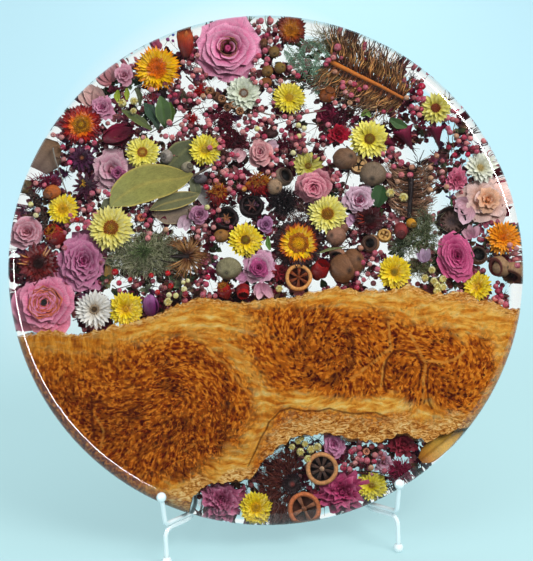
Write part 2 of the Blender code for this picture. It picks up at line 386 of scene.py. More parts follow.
def wood_surface(side, nu, nv, n_edge=9):
    """Grid (nv, nu, 3) of the front (side 1) or back (side -1) of the slab."""
    r, h, e = DISC_R - INSET, DISC_T / 2 - INSET, EDGE_R - INSET
    seeds = (3, 13) if side > 0 else (43, 53)
    # the ends: where the upper edge meets the rim
    us = np.linspace(-0.2435, 0.2435, 4001)
    ok = us[upper_v(us, seeds[0]) > -np.sqrt(np.maximum(r * r - us * us, 0))]
    u = np.linspace(ok.min(), ok.max(), nu)
    rim = -np.sqrt(np.maximum(r * r - u * u, 0))
    hi = upper_v(u, seeds[0])
    lo = np.maximum(lower_v(u, seeds[1]), rim)
    lo = np.minimum(lo, hi - 1e-5)
    hi = np.maximum(hi, lo + 1e-5)
    rho_hi = np.hypot(u, hi)
    on_rim = np.clip((rim - lower_v(u, seeds[1])) / 0.001, 0, 1) > 0
    g = np.zeros((nv, nu, 3))
    for j in range(nu):
        if on_rim[j] or np.hypot(u[j], lo[j]) > r - e:
            a0 = math.asin(min(1.0, max(0.0, (np.hypot(u[j], lo[j]) - (r - e)) / e)))
            inner = max(abs(u[j]), r - e)
            a1 = math.asin(min(1.0, max(0.0, (max(rho_hi[j], inner) - (r - e)) / e))) if rho_hi[j] > r - e or abs(u[j]) > r - e else 0.0
            a1 = min(a1, a0)
            a = np.linspace(a0, a1, n_edge)
            rho = r - e + e * np.sin(a)
            v_edge = -np.sqrt(np.maximum(rho ** 2 - u[j] ** 2, 0))
            v_edge = np.clip(v_edge, lo[j], hi[j])
            v = np.concatenate([v_edge, np.linspace(v_edge[-1], hi[j], nv - n_edge + 1)[1:]])
        else:
            v = np.linspace(lo[j], hi[j], nv)
        rho = np.hypot(u[j], v)
        over = np.clip(rho - (r - e), 0, e)
        z = (h - e + np.sqrt(np.maximum(e * e - over * over, 0))) * side
        g[:, j, 0], g[:, j, 1], g[:, j, 2] = u[j], v, z
    return g


def blob(x, y, items):
    """Sum of soft elliptical spots: (x, y, rx, ry, angle degrees, weight)."""
    out = np.zeros_like(x)
    for bx, by, rx, ry, ang, wt in items:
        a = math.radians(ang)
        dx, dy = x - bx, y - by
        p = (dx * math.cos(a) + dy * math.sin(a)) / rx
        q = (-dx * math.sin(a) + dy * math.cos(a)) / ry
        out += wt * np.exp(-(p * p + q * q))
    return out


def seg_dist(x, y, pts):
    """Distance to a polyline in picture units."""
    best = np.full_like(x, 1e9)
    for (x0, y0), (x1, y1) in zip(pts[:-1], pts[1:]):
        dx, dy = x1 - x0, y1 - y0
        t = np.clip(((x - x0) * dx + (y - y0) * dy) / (dx * dx + dy * dy), 0, 1)
        best = np.minimum(best, np.hypot(x - x0 - t * dx, y - y0 - t * dy))
    return best


def noise2(x, y, scale, seed):
    """Smooth 2D value noise, -1..1."""
    rs = np.random.RandomState(seed)
    tab = rs.uniform(-1, 1, (256, 256))
    x, y = x / scale, y / scale
    i, j = np.floor(x).astype(int), np.floor(y).astype(int)
    s, t = x - i, y - j
    s, t = s * s * (3 - 2 * s), t * t * (3 - 2 * t)
    g = lambda a, b: tab[a % 256, b % 256]
    return (g(i, j) * (1 - s) * (1 - t) + g(i + 1, j) * s * (1 - t) + g(i, j + 1) * (1 - s) * t + g(i + 1, j + 1) * s * t)


# heart of the burl: dark growth centres, in picture units
DARK = [
    (140, 420, 90, 50, 4, 0.80), (62, 398, 26, 26, 0, 0.25), (72, 398, 12, 16, 0, 0.5), (200, 440, 34, 36, 0, 0.25), (169, 385, 15, 9, 15, 1.3), (133, 406, 13, 10, 0, 0.9), (117, 421, 14, 9, -20, 0.6),
    (91, 416, 6, 20, 4, 0.9), (106, 436, 12, 9, 20, 0.5), (163, 362, 13, 6, 0, 0.9), (200, 359, 15, 6, 8, 0.8), (222, 376, 5, 14, -12, 0.9), (224, 404, 6, 20, 0, 1.0), (222, 440, 7, 22, 0, 1.0), (214, 468, 9, 11, 0, 1.0),
    (185, 425, 12, 8, 0, 0.6), (150, 444, 18, 7, -10, 0.5), (190, 452, 16, 8, 10, 0.5), (163, 472, 26, 8, 0, 0.7), (196, 476, 10, 8, 0, 0.6), (120, 460, 18, 9, 20, 0.5), (240, 430, 6, 12, 0, 0.4), (212, 408, 8, 8, 0, 0.4),
    (76, 374, 18, 6, 0, 0.3), (96, 352, 3, 12, 0, 0.7), (107, 360, 2, 10, 0, 0.5), (328, 357, 46, 38, 0, 0.28), (327, 352, 22, 20, 0, 0.75), (305, 335, 5, 8, 0, 0.8), (304, 352, 5, 10, 0, 0.6), (351, 336, 6, 10, 20, 1.1), (352, 348, 7, 8, 0, 0.7),
    (325, 381, 18, 6, 0, 1.0), (306, 378, 10, 7, 20, 0.8), (346, 374, 10, 6, -20, 0.7), (277, 338, 7, 10, 0, 0.6), (283, 358, 10, 12, 0, 0.7), (292, 384, 8, 6, 0, 0.7), (262, 372, 7, 9, 0, 0.3), (298, 326, 12, 8, 0, 0.3),
    (371, 348, 10, 13, 0, 0.6), (374, 372, 8, 9, 0, 0.6), (403, 374, 13, 19, 8, 0.9), (397, 352, 7, 5, 0, 0.9), (420, 366, 3, 12, 0, 0.8), (398, 339, 9, 8, 0, 0.6), (446, 387, 17, 19, 0, 0.85), (434, 368, 7, 5, 0, 0.7),
    (437, 340, 14, 8, -20, 0.7), (424, 348, 6, 5, 0, 0.5), (450, 334, 8, 7, 0, 0.4), (466, 396, 12, 14, 0, 0.6), (481, 365, 8, 12, 0, 0.8), (494, 374, 5, 12, 20, 0.6), (488, 346, 9, 7, 0, 0.5), (414, 404, 16, 7, 0, 0.6),
    (395, 320, 18, 7, 0, 0.25), (440, 412, 14, 7, 0, 0.5), (376, 402, 12, 5, 0, 0.35), (352, 314, 18, 7, 0, 0.25), (300, 393, 14, 5, 0, 0.35), (262, 322, 10, 10, 0, 0.3), (322, 318, 12, 6, 0, 0.3), (236, 346, 10, 10, 0, 0.2)]
# golden sapwood
GOLD = [
    (110, 334, 60, 7, -8, 0.9), (160, 326, 34, 10, -14, 1.0), (205, 316, 30, 12, 0, 0.8), (228, 322, 26, 12, 10, 0.5), (205, 338, 20, 6, 20, 0.6), (238, 358, 8, 26, -32, 0.7), (262, 400, 8, 20, -12, 0.9),
    (254, 432, 8, 20, 20, 0.8), (246, 462, 10, 16, 20, 1.0), (226, 476, 18, 12, 0, 1.1), (190, 490, 34, 8, 0, 1.2), (230, 456, 6, 16, 0, 0.6), (36, 342, 26, 8, 0, 0.8), (80, 345, 34, 8, 0, 0.6), (300, 300, 40, 8, 0, 0.7),
    (345, 295, 34, 8, 0, 0.9), (395, 300, 40, 9, 0, 0.9), (450, 308, 44, 11, 8, 1.1), (420, 318, 26, 6, 6, 0.6), (470, 326, 20, 9, 10, 1.0), (496, 322, 20, 14, 40, 0.9), (504, 352, 6, 30, -8, 0.6),
    (492, 396, 7, 30, 28, 0.6), (462, 334, 5, 9, 0, 0.5), (300, 402, 30, 7, 6, 1.2), (345, 404, 40, 7, 0, 1.4), (385, 407, 26, 7, 6, 1.2), (425, 416, 16, 6, 0, 0.9), (456, 422, 24, 6, -14, 0.8), (240, 298, 40, 7, 0, 0.8),
    (427, 408, 7, 8, 0, 0.8)]
# light lines and the cracks that run along the growth lobes
LINES = [
    ([(388.4, 322), (391, 348), (383, 369), (380.4, 386)], 2.0, 0.9), ([(391, 348), (375, 362), (366, 368), (350, 380)], 2.0, 0.9),
    ([(410.7, 333), (421.4, 357), (425.5, 363), (423.2, 380), (421.4, 403), (426, 411)], 2.0, 1.0), ([(425.9, 360.5), (443, 362), (455, 360), (465, 353)], 2.0, 0.9),
    ([(300, 303), (303, 325), (300, 340)], 1.8, 0.7), ([(267, 308), (266, 326), (268, 344)], 1.8, 0.7), ([(188, 331), (214, 338), (236, 352), (252, 374), (262, 396)], 2.6, 0.9),
    ([(205, 350), (226, 364), (242, 386), (254, 406)], 2.0, 0.8), ([(137, 443), (128, 452)], 1.9, 0.7),
    ([(195, 444), (184, 450)], 2.2, 0.8), ([(96, 416), (104, 432), (100, 452)], 1.8, 0.7), ([(262, 412), (258, 432), (247, 460), (236, 468)], 2.6, 0.8)]
CRACKS = [
    ([(266, 428), (268, 421), (279, 412), (290, 408), (304, 412), (318, 412), (329, 408.5), (343, 412), (357, 413), (375, 412), (386, 416)], 1.5, 0.9),
    ([(266, 428), (261, 437), (256, 450), (247, 470)], 1.5, 0.8), ([(404, 350), (393, 351), (387, 361), (383, 380), (386, 391)], 1.7, 1.0), ([(404, 350), (414, 353), (420, 361), (421, 370), (418, 386)], 1.7, 0.9),
    ([(445, 366), (431, 364.5), (428, 370), (427, 387), (428, 401), (432, 409)], 1.7, 1.0), ([(222.5, 380), (226, 410), (224, 438)], 2.6, 0.6), ([(355, 372), (372, 361), (384, 352)], 1.4, 0.6),
    ([(300, 340), (294, 352), (294, 372)], 1.6, 0.6), ([(346, 330), (354, 344), (354, 362), (346, 376)], 2.0, 0.8), ([(91, 398), (93, 418), (95, 440)], 2.2, 0.9), ([(118, 352), (117, 372)], 1.8, 0.7),
    ([(112, 344), (112, 362)], 1.7, 0.7), ([(102, 346), (103, 358)], 1.7, 0.6), ([(190, 354), (212, 366), (222, 380)], 1.6, 0.6), ([(140, 404), (130, 410), (128, 424)], 2.2, 0.8), ([(392, 322), (394, 338)], 1.5, 0.5)]
CRUST = [(150, 499), (165, 492), (181, 487), (190, 479), (199, 472), (206, 478), (215, 484), (224, 470), (240, 466), (252, 470)]


def wood_fields(u, v, front=True):
    x, y = pix(u, v)
    if not front:
        x = x + 14 * noise2(x, y, 60, 5)
        y = y + 10 * noise2(x, y, 50, 6)
    wx = x + 5 * noise2(x, y, 22, 1) + 2.2 * noise2(x, y, 8, 2)
    wy = y + 5 * noise2(x, y, 22, 3) + 2.2 * noise2(x, y, 8, 4)
    d = 1 - np.exp(-1.5 * blob(wx, wy, DARK))
    # broken ring of the middle growth
    ring = np.exp(-((np.hypot((wx - 326) / 1.1, wy - 354) - 27) / 3.5) ** 2) * 0.5
    d = np.clip(d + ring * (0.6 + 0.4 * noise2(x, y, 9, 31)), 0, 1)
    g = 1 - np.exp(-1.5 * blob(wx, wy, GOLD))
    line = np.zeros_like(x)
    for pts, width, w in LINES:
        line = np.maximum(line, w * np.exp(-(seg_dist(wx * 0.25 + x * 0.75, wy * 0.25 + y * 0.75, pts) / width) ** 2))
    crack = np.zeros_like(x)
    for pts, width, w in CRACKS:
        crack = np.maximum(crack, w * np.exp(-(seg_dist(wx * 0.25 + x * 0.75, wy * 0.25 + y * 0.75, pts) / width) ** 2))
    d = np.clip(d * (1 - 0.9 * g), 0, 1)
    below = (v - lower_v(np.clip(u, -0.09, 0.2), amp=0)) * 1000
    above = (upper_v(u, amp=0) - v) * 1000
    rim_side = np.clip((u + 0.02) / 0.02, 0, 1)
    bark = np.exp(-(np.clip(below, 0, 99) / (20 - 6 * np.clip((u - 0.08) / 0.1, 0, 1))) ** 4) * rim_side
    bark = np.maximum(bark, np.exp(-(np.clip(above, 0, 99) / 9.0) ** 3) * np.clip((u - 0.10) / 0.05, 0, 1) * 0.8)
    bark = np.maximum(bark, np.exp(-(np.clip(above, 0, 99) / 4.0) ** 3) * 0.8)
    crust = np.clip((y - np.interp(x, [p[0] for p in CRUST], [p[1] for p in CRUST]) + 2.2 * noise2(x, y, 4.5, 71)) / 1.6, 0, 1) * (x > 140) * (x < 262)
    bark = np.maximum(bark, crust * np.clip((x - 150) / 16, 0, 1))
    line, crack = line * (1 - crust), crack * (1 - crust)
    fib = np.exp(-(np.clip(above, 0, 99) / 26.0) ** 2) * np.clip((-0.13 - u) / 0.04, 0, 1)
    return d, g, np.clip(bark, 0, 1), np.clip(fib, 0, 1), line, crack


def make_wood():
    b = Build()
    fields, flow = [], []

    def put(grid, flip, front=True):
        u, v = grid[..., 0], grid[..., 1]
        d, g, k, *more = wood_fields(u, v, front)
        # coordinates bent around the growth centres, so that figure drawn with them swirls
        x, y = pix(u, v)
        for cx, cy, rad, turn in ((165, 386, 60, 0.55), (190, 432, 55, -0.6), (326, 354, 46, 0.7), (404, 374, 30, 0.5),
                                  (446, 384, 36, -0.5), (92, 420, 44, 0.4), (440, 336, 28, 0.4)):
            dx, dy = x - cx, y - cy
            a = turn * np.exp(-(dx * dx + dy * dy) / (rad * rad))
            x, y = cx + dx * np.cos(a) - dy * np.sin(a), cy + dx * np.sin(a) + dy * np.cos(a)
        fl = np.stack([x * 0.001, -y * 0.001, grid[..., 2] + (0 if front else 0.5)], -1)
        p = grid[:, ::-1] if flip else grid
        rgb = np.stack([d, g, k], -1)
        if flip:
            rgb, fl, more = rgb[:, ::-1], fl[:, ::-1], [m[:, ::-1] for m in more]
        b.grid(p, rgb.reshape(-1, 3))
        fields.append(np.stack([m.reshape(-1) for m in more]))
        flow.append(fl.reshape(-1, 3))

    front = wood_surface(1, 380, 130)
    rear = wood_surface(-1, 380, 24)
    put(front, False)
    put(rear, True, False)
    # walls: along the upper live edge and along the lower edge and rim
    for row_f, row_b, sign, flip in ((front[-1], rear[-1], 1, False), (front[0], rear[0], -1, True)):
        rows = 9
        t = np.linspace(0, 1, rows)[:, None, None]
        wall = row_f[None] * (1 - t) + row_b[None] * t
        uu = wall[..., 0]
        live = np.clip((np.hypot(uu, wall[..., 1]) - 0.2485) / -0.003, 0, 1)
        bulge = np.sin(np.pi * t[..., 0]) * (0.0016 + 0.0022 * noise2(uu * 1000, t[..., 0] * 34 + 0 * uu, 9.0, 21 + sign))
        wall[..., 1] += sign * bulge * live
        r = np.hypot(wall[..., 0], wall[..., 1])
        k = np.minimum(1, (DISC_R - INSET) / np.maximum(r, 1e-6))
        wall[..., 0] *= k
        wall[..., 1] *= k
        put(wall[::-1] if flip else wall, not flip)
    return b, np.concatenate(fields, 1), np.concatenate(flow)


def wood_material():
    n = Nodes("burl_wood_visual")
    col = n.node("ShaderNodeVertexColor", layer_name="tint")
    sep = n.node("ShaderNodeSeparateColor")
    n.link(col.outputs["Color"], sep.inputs["Color"])
    dark, gold, bark = sep.outputs["Red"], sep.outputs["Green"], sep.outputs["Blue"]
    flow = n.node("ShaderNodeAttribute", attribute_name="flow").outputs["Vector"]
    fib = n.node("ShaderNodeAttribute", attribute_name="fibre").outputs["Fac"]
    # fine worm-like figure of the burl: thin bright strands on a dark ground
    warp = n.noise(85.0, 2.0, 0.5, vector=flow, colour=True)
    warp = n.vmath("SCALE", n.vmath("SUBTRACT", warp, (0.5, 0.5, 0.5)), scale=0.007)
    flow2 = n.vmath("ADD", flow, warp)
    stretched = n.mapped(scale=(1.0, 1.5, 1.0), rotation=(0, 0, math.radians(-38)), vector=flow2)
    na = n.noise(148.0, 1.0, 0.5, 0.25, vector=stretched)
    nb = n.noise(245.0, 1.0, 0.5, 0.25, vector=flow2)
    strand_a = n.math("SUBTRACT", 1.0, n.math("MULTIPLY", n.math("ABSOLUTE", n.math("SUBTRACT", na, 0.5)), 16.0), clamp=True)
    strand_b = n.math("SUBTRACT", 1.0, n.math("MULTIPLY", n.math("ABSOLUTE", n.math("SUBTRACT", nb, 0.52)), 11.0), clamp=True)
    strand = n.math("MAXIMUM", strand_a, n.math("MULTIPLY", strand_b, 0.8))
    worm = n.noise(275.0, 1.0, 0.5, 0.2, vector=flow2)
    centred = n.math("SUBTRACT", worm, 0.5)
    some = n.noise(70.0, 2.0, 0.5, vector=flow)
    contrast = n.math("ADD", n.math("MULTIPLY", strand, n.math("MULTIPLY_ADD", some, 3.0, -0.62, clamp=True)), n.math("MULTIPLY_ADD", centred, 2.6, 0.10, clamp=True), clamp=True)
    calm = n.math("MULTIPLY_ADD", centred, 4.2, 0.5, clamp=True)
    # eyes, each in a paler net
    vor = n.node("ShaderNodeTexVoronoi", feature="F1")
    vor.inputs["Scale"].default_value = 232.0
    vor.inputs["Randomness"].default_value = 0.95
    n.link(flow2, vor.inputs["Vector"])
    dist = vor.outputs["Distance"]
    cell = n.node("ShaderNodeSeparateColor")
    n.link(vor.outputs["Color"], cell.inputs["Color"])
    eye = n.math("MULTIPLY", n.math("SUBTRACT", n.math("MULTIPLY_ADD", cell.outputs["Red"], 0.22, 0.20), dist), 7.0, clamp=True)
    halo = n.math("MULTIPLY", n.math("SUBTRACT", dist, 0.44), 4.0, clamp=True)
    patch = n.noise(52.0, 2.0, 0.5, vector=flow)
    d_soft = n.math("MULTIPLY_ADD", dark, 1.6, 0.0, clamp=True)
    eye_where = n.math("MULTIPLY", n.math("ADD", n.math("MULTIPLY_ADD", patch, 5.0, -2.2, clamp=True), d_soft, clamp=True),
                       n.math("SUBTRACT", 1.0, n.math("ADD", bark, n.math("MULTIPLY", gold, 0.75)), clamp=True))
    place = n.node("ShaderNodeSeparateXYZ")
    n.link(flow, place.inputs[0])
    eye_where = n.math("MULTIPLY", eye_where, n.math("MULTIPLY_ADD", n.math("MULTIPLY_ADD", place.outputs["X"], 14.0, -3.0, clamp=True), 0.42, 0.58))
    # large drifting tone
    big = n.noise(24.0, 4.0, 0.6, 0.5, vector=flow)
    mottle = n.noise(95.0, 3.0, 0.6, 0.3, vector=flow2)
    silk = n.noise(60.0, 4.0, 0.6, 0.6, vector=n.mapped(scale=(1.0, 2.6, 1.0), rotation=(0, 0, math.radians(55)), vector=flow2))
    ripple = n.noise(120.0, 2.5, 0.55, 0.3, vector=n.mapped(scale=(0.42, 1.5, 1.0), rotation=(0, 0, math.radians(8)), vector=flow2))
    soft = n.math("MULTIPLY_ADD", n.math("SUBTRACT", ripple, 0.5), 2.9, 0.5, clamp=True)
    heart = n.ramp(contrast, [(0.0, srgb(40, 1, 0)), (0.28, srgb(68, 6, 0)), (0.55, srgb(108, 25, 1)), (0.8, srgb(172, 72, 8)), (1.0, srgb(232, 138, 42))])
    mid = n.ramp(calm, [(0.0, srgb(104, 30, 2)), (0.30, srgb(152, 60, 4)), (0.62, srgb(190, 94, 10)), (1.0, srgb(236, 150, 44))])
    light = n.ramp(soft, [(0.0, srgb(190, 108, 20)), (0.3, srgb(232, 157, 52)), (0.62, srgb(250, 194, 84)), (1.0, srgb(255, 226, 136))])
    drift = n.math("ADD", n.math("MULTIPLY", n.math("SUBTRACT", big, 0.5), 0.7), n.math("MULTIPLY", n.math("SUBTRACT", mottle, 0.5), 0.7))
    d2 = n.math("ADD", dark, drift, clamp=True)
    base = n.mix(d2, mid, heart)
    deep = n.math("MULTIPLY_ADD", n.math("ADD", dark, n.math("MULTIPLY", drift, 0.5)), 3.2, -2.1, clamp=True)
    base = n.mix(n.math("MULTIPLY", deep, 0.6), base, srgb(54, 7, 1))
    g2 = n.math("ADD", gold, n.math("MULTIPLY", n.math("SUBTRACT", silk, 0.5), n.math("MULTIPLY_ADD", gold, 1.1, 0.25)), clamp=True)
    base = n.mix(g2, base, light)
    # silky streaks
    streak = n.math("MULTIPLY_ADD", n.math("SUBTRACT", silk, 0.56), 6.0, 0.0, clamp=True)
    base = n.mix(n.math("MULTIPLY", streak, n.math("MULTIPLY_ADD", d2, -0.26, 0.24, clamp=True)), base, srgb(222, 134, 24))
    base = n.mix(n.math("MULTIPLY", n.math("MULTIPLY", halo, eye_where), n.math("MULTIPLY_ADD", d2, -0.42, 0.66, clamp=True)), base, srgb(224, 124, 20))
    # pale lines and dark creases between the growths
    line = n.node("ShaderNodeAttribute", attribute_name="line").outputs["Fac"]
    crack = n.node("ShaderNodeAttribute", attribute_name="crack").outputs["Fac"]
    base = n.mix(n.math("MULTIPLY", n.math("MULTIPLY_ADD", line, 2.6, -1.0, clamp=True), 0.72), base, n.ramp(soft, [(0.0, srgb(196, 112, 30)), (1.0, srgb(232, 168, 74))]))
    # vertical fibres at the far left of the upper edge
    fv = n.noise(260.0, 4.0, 0.65, 0.4, vector=n.mapped(scale=(1.0, 0.22, 1.0)))
    fcol = n.ramp(fv, [(0.36, srgb(124, 54, 6)), (0.48, srgb(192, 108, 14)), (0.58, srgb(224, 144, 34)), (0.68, srgb(250, 192, 84))])
    base = n.mix(n.math("MULTIPLY", fib, 0.75), base, fcol)
    # rippled band next to the live edges
    bv = n.noise(260.0, 3.0, 0.6, 1.4, vector=n.mapped(scale=(0.6, 1.3, 1.0), rotation=(0, 0, 0.35)))
    bcol = n.ramp(bv, [(0.36, srgb(120, 64, 20)), (0.45, srgb(200, 132, 56)), (0.54, srgb(238, 184, 102)), (0.64, srgb(255, 228, 160))])
    base = n.mix(n.math("MULTIPLY", bark, 0.9), base, bcol)
    base = n.mix(n.math("MULTIPLY", n.math("MULTIPLY_ADD", crack, 2.4, -0.9, clamp=True), 0.8), base, srgb(74, 22, 4))
    base = n.mix(n.math("MULTIPLY", n.math("MULTIPLY", eye, eye_where), 0.88, clamp=True), base, srgb(58, 10, 2))
    pores = n.noise(1500.0, 2.0, 0.6)
    base = n.mix(n.math("MULTIPLY_ADD", pores, 2.2, -1.2, clamp=True), base, srgb(84, 34, 8))
    n.link(base, n.bsdf.inputs["Base Color"])
    n.set(rough=0.14, spec=0.25)
    n.bump(contrast, 0.03, 0.0002)
    return n.mat


wb, extra, flow = make_wood()
WOOD = wood_material()
wood = wb.object("burl_wood", WOOD, slot="burl_wood")
for key, values in zip(("fibre", "line", "crack"), extra):
    a = wood.data.attributes.new(key, "FLOAT", "POINT")
    a.data.foreach_set("value", np.ascontiguousarray(values, dtype=np.float32))
a = wood.data.attributes.new("flow", "FLOAT_VECTOR", "POINT")
a.data.foreach_set("vector", flow.astype(np.float32).ravel())
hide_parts("burl_slab")

# ---------------------------------------------------------------- specimen tools
def lin(c):
    return np.array(srgb(*c))


def shade(stops, s):
    """Linear colours read from [(place, (r, g, b)), ...] at s, any array."""
    xs = [p for p, _ in stops]
    cs = np.array([lin(c) for _, c in stops])
    s = np.asarray(s, float)
    return np.stack([np.interp(s, xs, cs[:, k]) for k in range(3)], -1)


def turn(axis, angle):
    axis = np.asarray(axis, float) / np.linalg.norm(axis)
    x, y, z = axis
    c, s = math.cos(angle), math.sin(angle)
    return np.array([[c + x * x * (1 - c), x * y * (1 - c) - z * s, x * z * (1 - c) + y * s],
                     [y * x * (1 - c) + z * s, c + y * y * (1 - c), y * z * (1 - c) - x * s],
                     [z * x * (1 - c) - y * s, z * y * (1 - c) + x * s, c + z * z * (1 - c)]])




def unit_ball(rows=6, steps=9):
    prof = [(math.sin(a), -math.cos(a)) for a in np.linspace(0, math.pi, rows + 1)[1:-1]]
    g = lathe(prof, steps)
    v = np.concatenate([[[0, 0, -1]], g.reshape(-1, 3), [[0, 0, 1]]])
    f = [(0, 1 + (j + 1) % steps, 1 + j) for j in range(steps)]
    for i in range(len(prof) - 1):
        for j in range(steps):
            a, c = 1 + i * steps + j, 1 + i * steps + (j + 1) % steps
            f.append((a, c, c + steps, a + steps))
    top = len(v) - 1
    f += [(1 + (len(prof) - 1) * steps + j, 1 + (len(prof) - 1) * steps + (j + 1) % steps, top) for j in range(steps)]
    return v, f


FULL_BALL, SMALL_BALL = unit_ball(), unit_ball(4, 6)


class Item(Build):
    """One specimen, built in its own frame: z out of the decorated face, sizes in metres."""

    def __init__(self, px=None, py=None, depth=0.0, tilt=0.0, toward=0.0, spin=0.0, seed=1):
        super().__init__()
        self.g = []
        self.rng = np.random.RandomState(seed)
        self.o = at(px, py, depth) if px is not None else np.zeros(3)
        self.rot = np.eye(3)
        if spin:
            self.rot = turn((0, 0, 1), math.radians(spin)) @ self.rot
        if tilt:
            a = math.radians(toward)
            self.rot = turn((-math.sin(a), math.cos(a), 0), math.radians(tilt)) @ self.rot

    def here(self, px, py, depth):
        """A picture place in this item's own frame."""
        return self.rot.T @ (at(px, py, depth) - self.o)

    def put(self, verts, faces, colours, grain=None, mat=0):
        verts = np.asarray(verts, float).reshape(-1, 3)
        colours = np.asarray(colours, float)
        if colours.ndim == 1:
            colours = np.tile(colours, (len(verts), 1))
        if grain is None:
            grain = verts
        self.v.append(verts @ self.rot.T + self.o)
        self.c.append(colours.reshape(-1, 3))
        self.g.append(np.asarray(grain, float).reshape(-1, 3))
        faces = np.asarray(faces, int)
        self.f.extend(map(tuple, (faces + self.n).tolist()))
        self.m.extend([mat] * len(faces))
        self.n += len(verts)

    def sheets(self, p, colours, grain=None, closed=False, mat=0):
        """p is (pieces, rows, columns, 3): many grids at once; closed joins the last column to the first."""
        n, a, b = p.shape[:3]
        i, j = np.meshgrid(np.arange(a - 1), np.arange(b if closed else b - 1), indexing="ij")
        j2 = (j + 1) % b
        f = np.stack([i * b + j, i * b + j2, (i + 1) * b + j2, (i + 1) * b + j], -1).reshape(-1, 4)
        f = (f[None] + (np.arange(n) * a * b)[:, None, None]).reshape(-1, 4)
        colours = np.broadcast_to(colours, (n, a, b, 3))
        if grain is None:
            grain = p
        self.put(p, f, colours.reshape(-1, 3), grain, mat)

    def petals(self, phi, r0, length, width, lift, curl, cup, z0, stops, nu=6, nv=5, tip=0.6, wave=0.0, edge=0.12,
               base=0.35, lights=None):
        """Rows of petals round the z axis; every value may be an array, one entry a petal."""
        phi = np.atleast_1d(np.asarray(phi, float))
        N = len(phi)
        full = lambda q: np.broadcast_to(np.asarray(q, float), (N,)).copy()
        r0, length, width, lift, curl, cup, z0 = map(full, (r0, length, width, lift, curl, cup, z0))
        s, t = np.linspace(0, 1, nu), np.linspace(-1, 1, nv)
        pitch = lift[:, None] + curl[:, None] * s
        ds = 1 / (nu - 1)
        mid = (pitch[:, 1:] + pitch[:, :-1]) / 2
        rr = r0[:, None] + length[:, None] * np.concatenate([np.zeros((N, 1)), np.cumsum(np.cos(mid) * ds, 1)], 1)
        zz = z0[:, None] + length[:, None] * np.concatenate([np.zeros((N, 1)), np.cumsum(np.sin(mid) * ds, 1)], 1)
        w = np.clip(1 - s, 0, 1) ** tip * (base + (1 - base) * np.sin(np.pi / 2 * np.minimum(1, s / 0.45)))
        w[-1] = 0.04
        half = width[:, None, None] / 2 * w[None, :, None]
        side = half * t[None, None, :]
        up = cup[:, None, None] * half * (t ** 2)[None, None, :]
        if wave:
            ph = self.rng.uniform(0, TAU, (N, 1, 1))
            up = up + wave * half * np.sin(ph + s[None, :, None] * 7 + t[None, None, :] * 2.2) * (np.abs(t) ** 1)[None, None, :]
        x = rr[:, :, None] - np.sin(pitch)[:, :, None] * up
        z = zz[:, :, None] + np.cos(pitch)[:, :, None] * up
        c, q = np.cos(phi)[:, None, None], np.sin(phi)[:, None, None]
        p = np.stack([x * c - side * q, x * q + side * c, np.broadcast_to(z, side.shape)], -1)
        col = shade(stops, s)[None, :, None, :] * (1 - edge * (t ** 2))[None, None, :, None]
        k = self.rng.uniform(0.86, 1.12, (N, 1, 1, 1)) if lights is None else np.asarray(lights).reshape(N, 1, 1, 1)
        col = col * k
        gr = np.stack(np.broadcast_arrays(s[None, :, None] * length[:, None, None], side, self.rng.uniform(0, 9, (N, 1, 1))), -1)
        self.sheets(p, np.broadcast_to(col, p.shape), gr)

    def cups(self, phi, half, r_base, r_tip, z_base, z_tip, curl, stops, nu=7, nv=7, frill=0.0, jag=0.0, lights=None,
             round_=0.30, edge=0.0):
        """Rose petals: parts of cups round the z axis."""
        phi = np.atleast_1d(np.asarray(phi, float))
        N = len(phi)
        full = lambda q: np.broadcast_to(np.asarray(q, float), (N,)).copy()[:, None, None]
        half, r_base, r_tip, z_base, z_tip, curl = map(full, (half, r_base, r_tip, z_base, z_tip, curl))
        s, t = np.linspace(0, 1, nu)[None, :, None], np.linspace(-1, 1, nv)[None, None, :]
        top = 1 - round_ * np.abs(t) ** 3.2
        if jag:
            top = top * (1 - jag * self.rng.uniform(0, 1, (N, 1, nv)))
        ss = s * top
        R = r_base + (r_tip - r_base) * ss ** 1.15 + curl * ss ** 4
        Z = z_base + (z_tip - z_base) * (1 - (1 - ss) ** 1.5) - curl * 0.7 * ss ** 6
        if frill:
            ph = self.rng.uniform(0, TAU, (N, 1, 1))
            fq = self.rng.uniform(3, 6, (N, 1, 1))
            R = R + frill * r_tip * ss ** 2 * np.sin(ph + fq * t * 2.0)
            Z = Z + frill * r_tip * 0.8 * ss ** 2 * np.cos(ph * 1.7 + fq * t * 2.3)
        ang = phi[:, None, None] + half * t * (0.5 + 0.5 * np.sin(np.pi / 2 * np.minimum(1, ss * 1.2)))
        p = np.stack(np.broadcast_arrays(R * np.cos(ang), R * np.sin(ang), Z), -1)
        # colour follows the stops from petal base (0) to rim (1); in the roses the dark base stops are partly the
        # petals' own deeper colour and partly painted shade where the petals overlap
        col = shade(stops, ss) * (1 - edge * t ** 2)[..., None]
        k = self.rng.uniform(0.85, 1.13, (N, 1, 1, 1)) if lights is None else np.asarray(lights).reshape(N, 1, 1, 1)
        gr = np.stack(np.broadcast_arrays(ss * r_tip * 2, ang * r_tip, self.rng.uniform(0, 9, (N, 1, 1))), -1)
        self.sheets(p, col * k, gr)

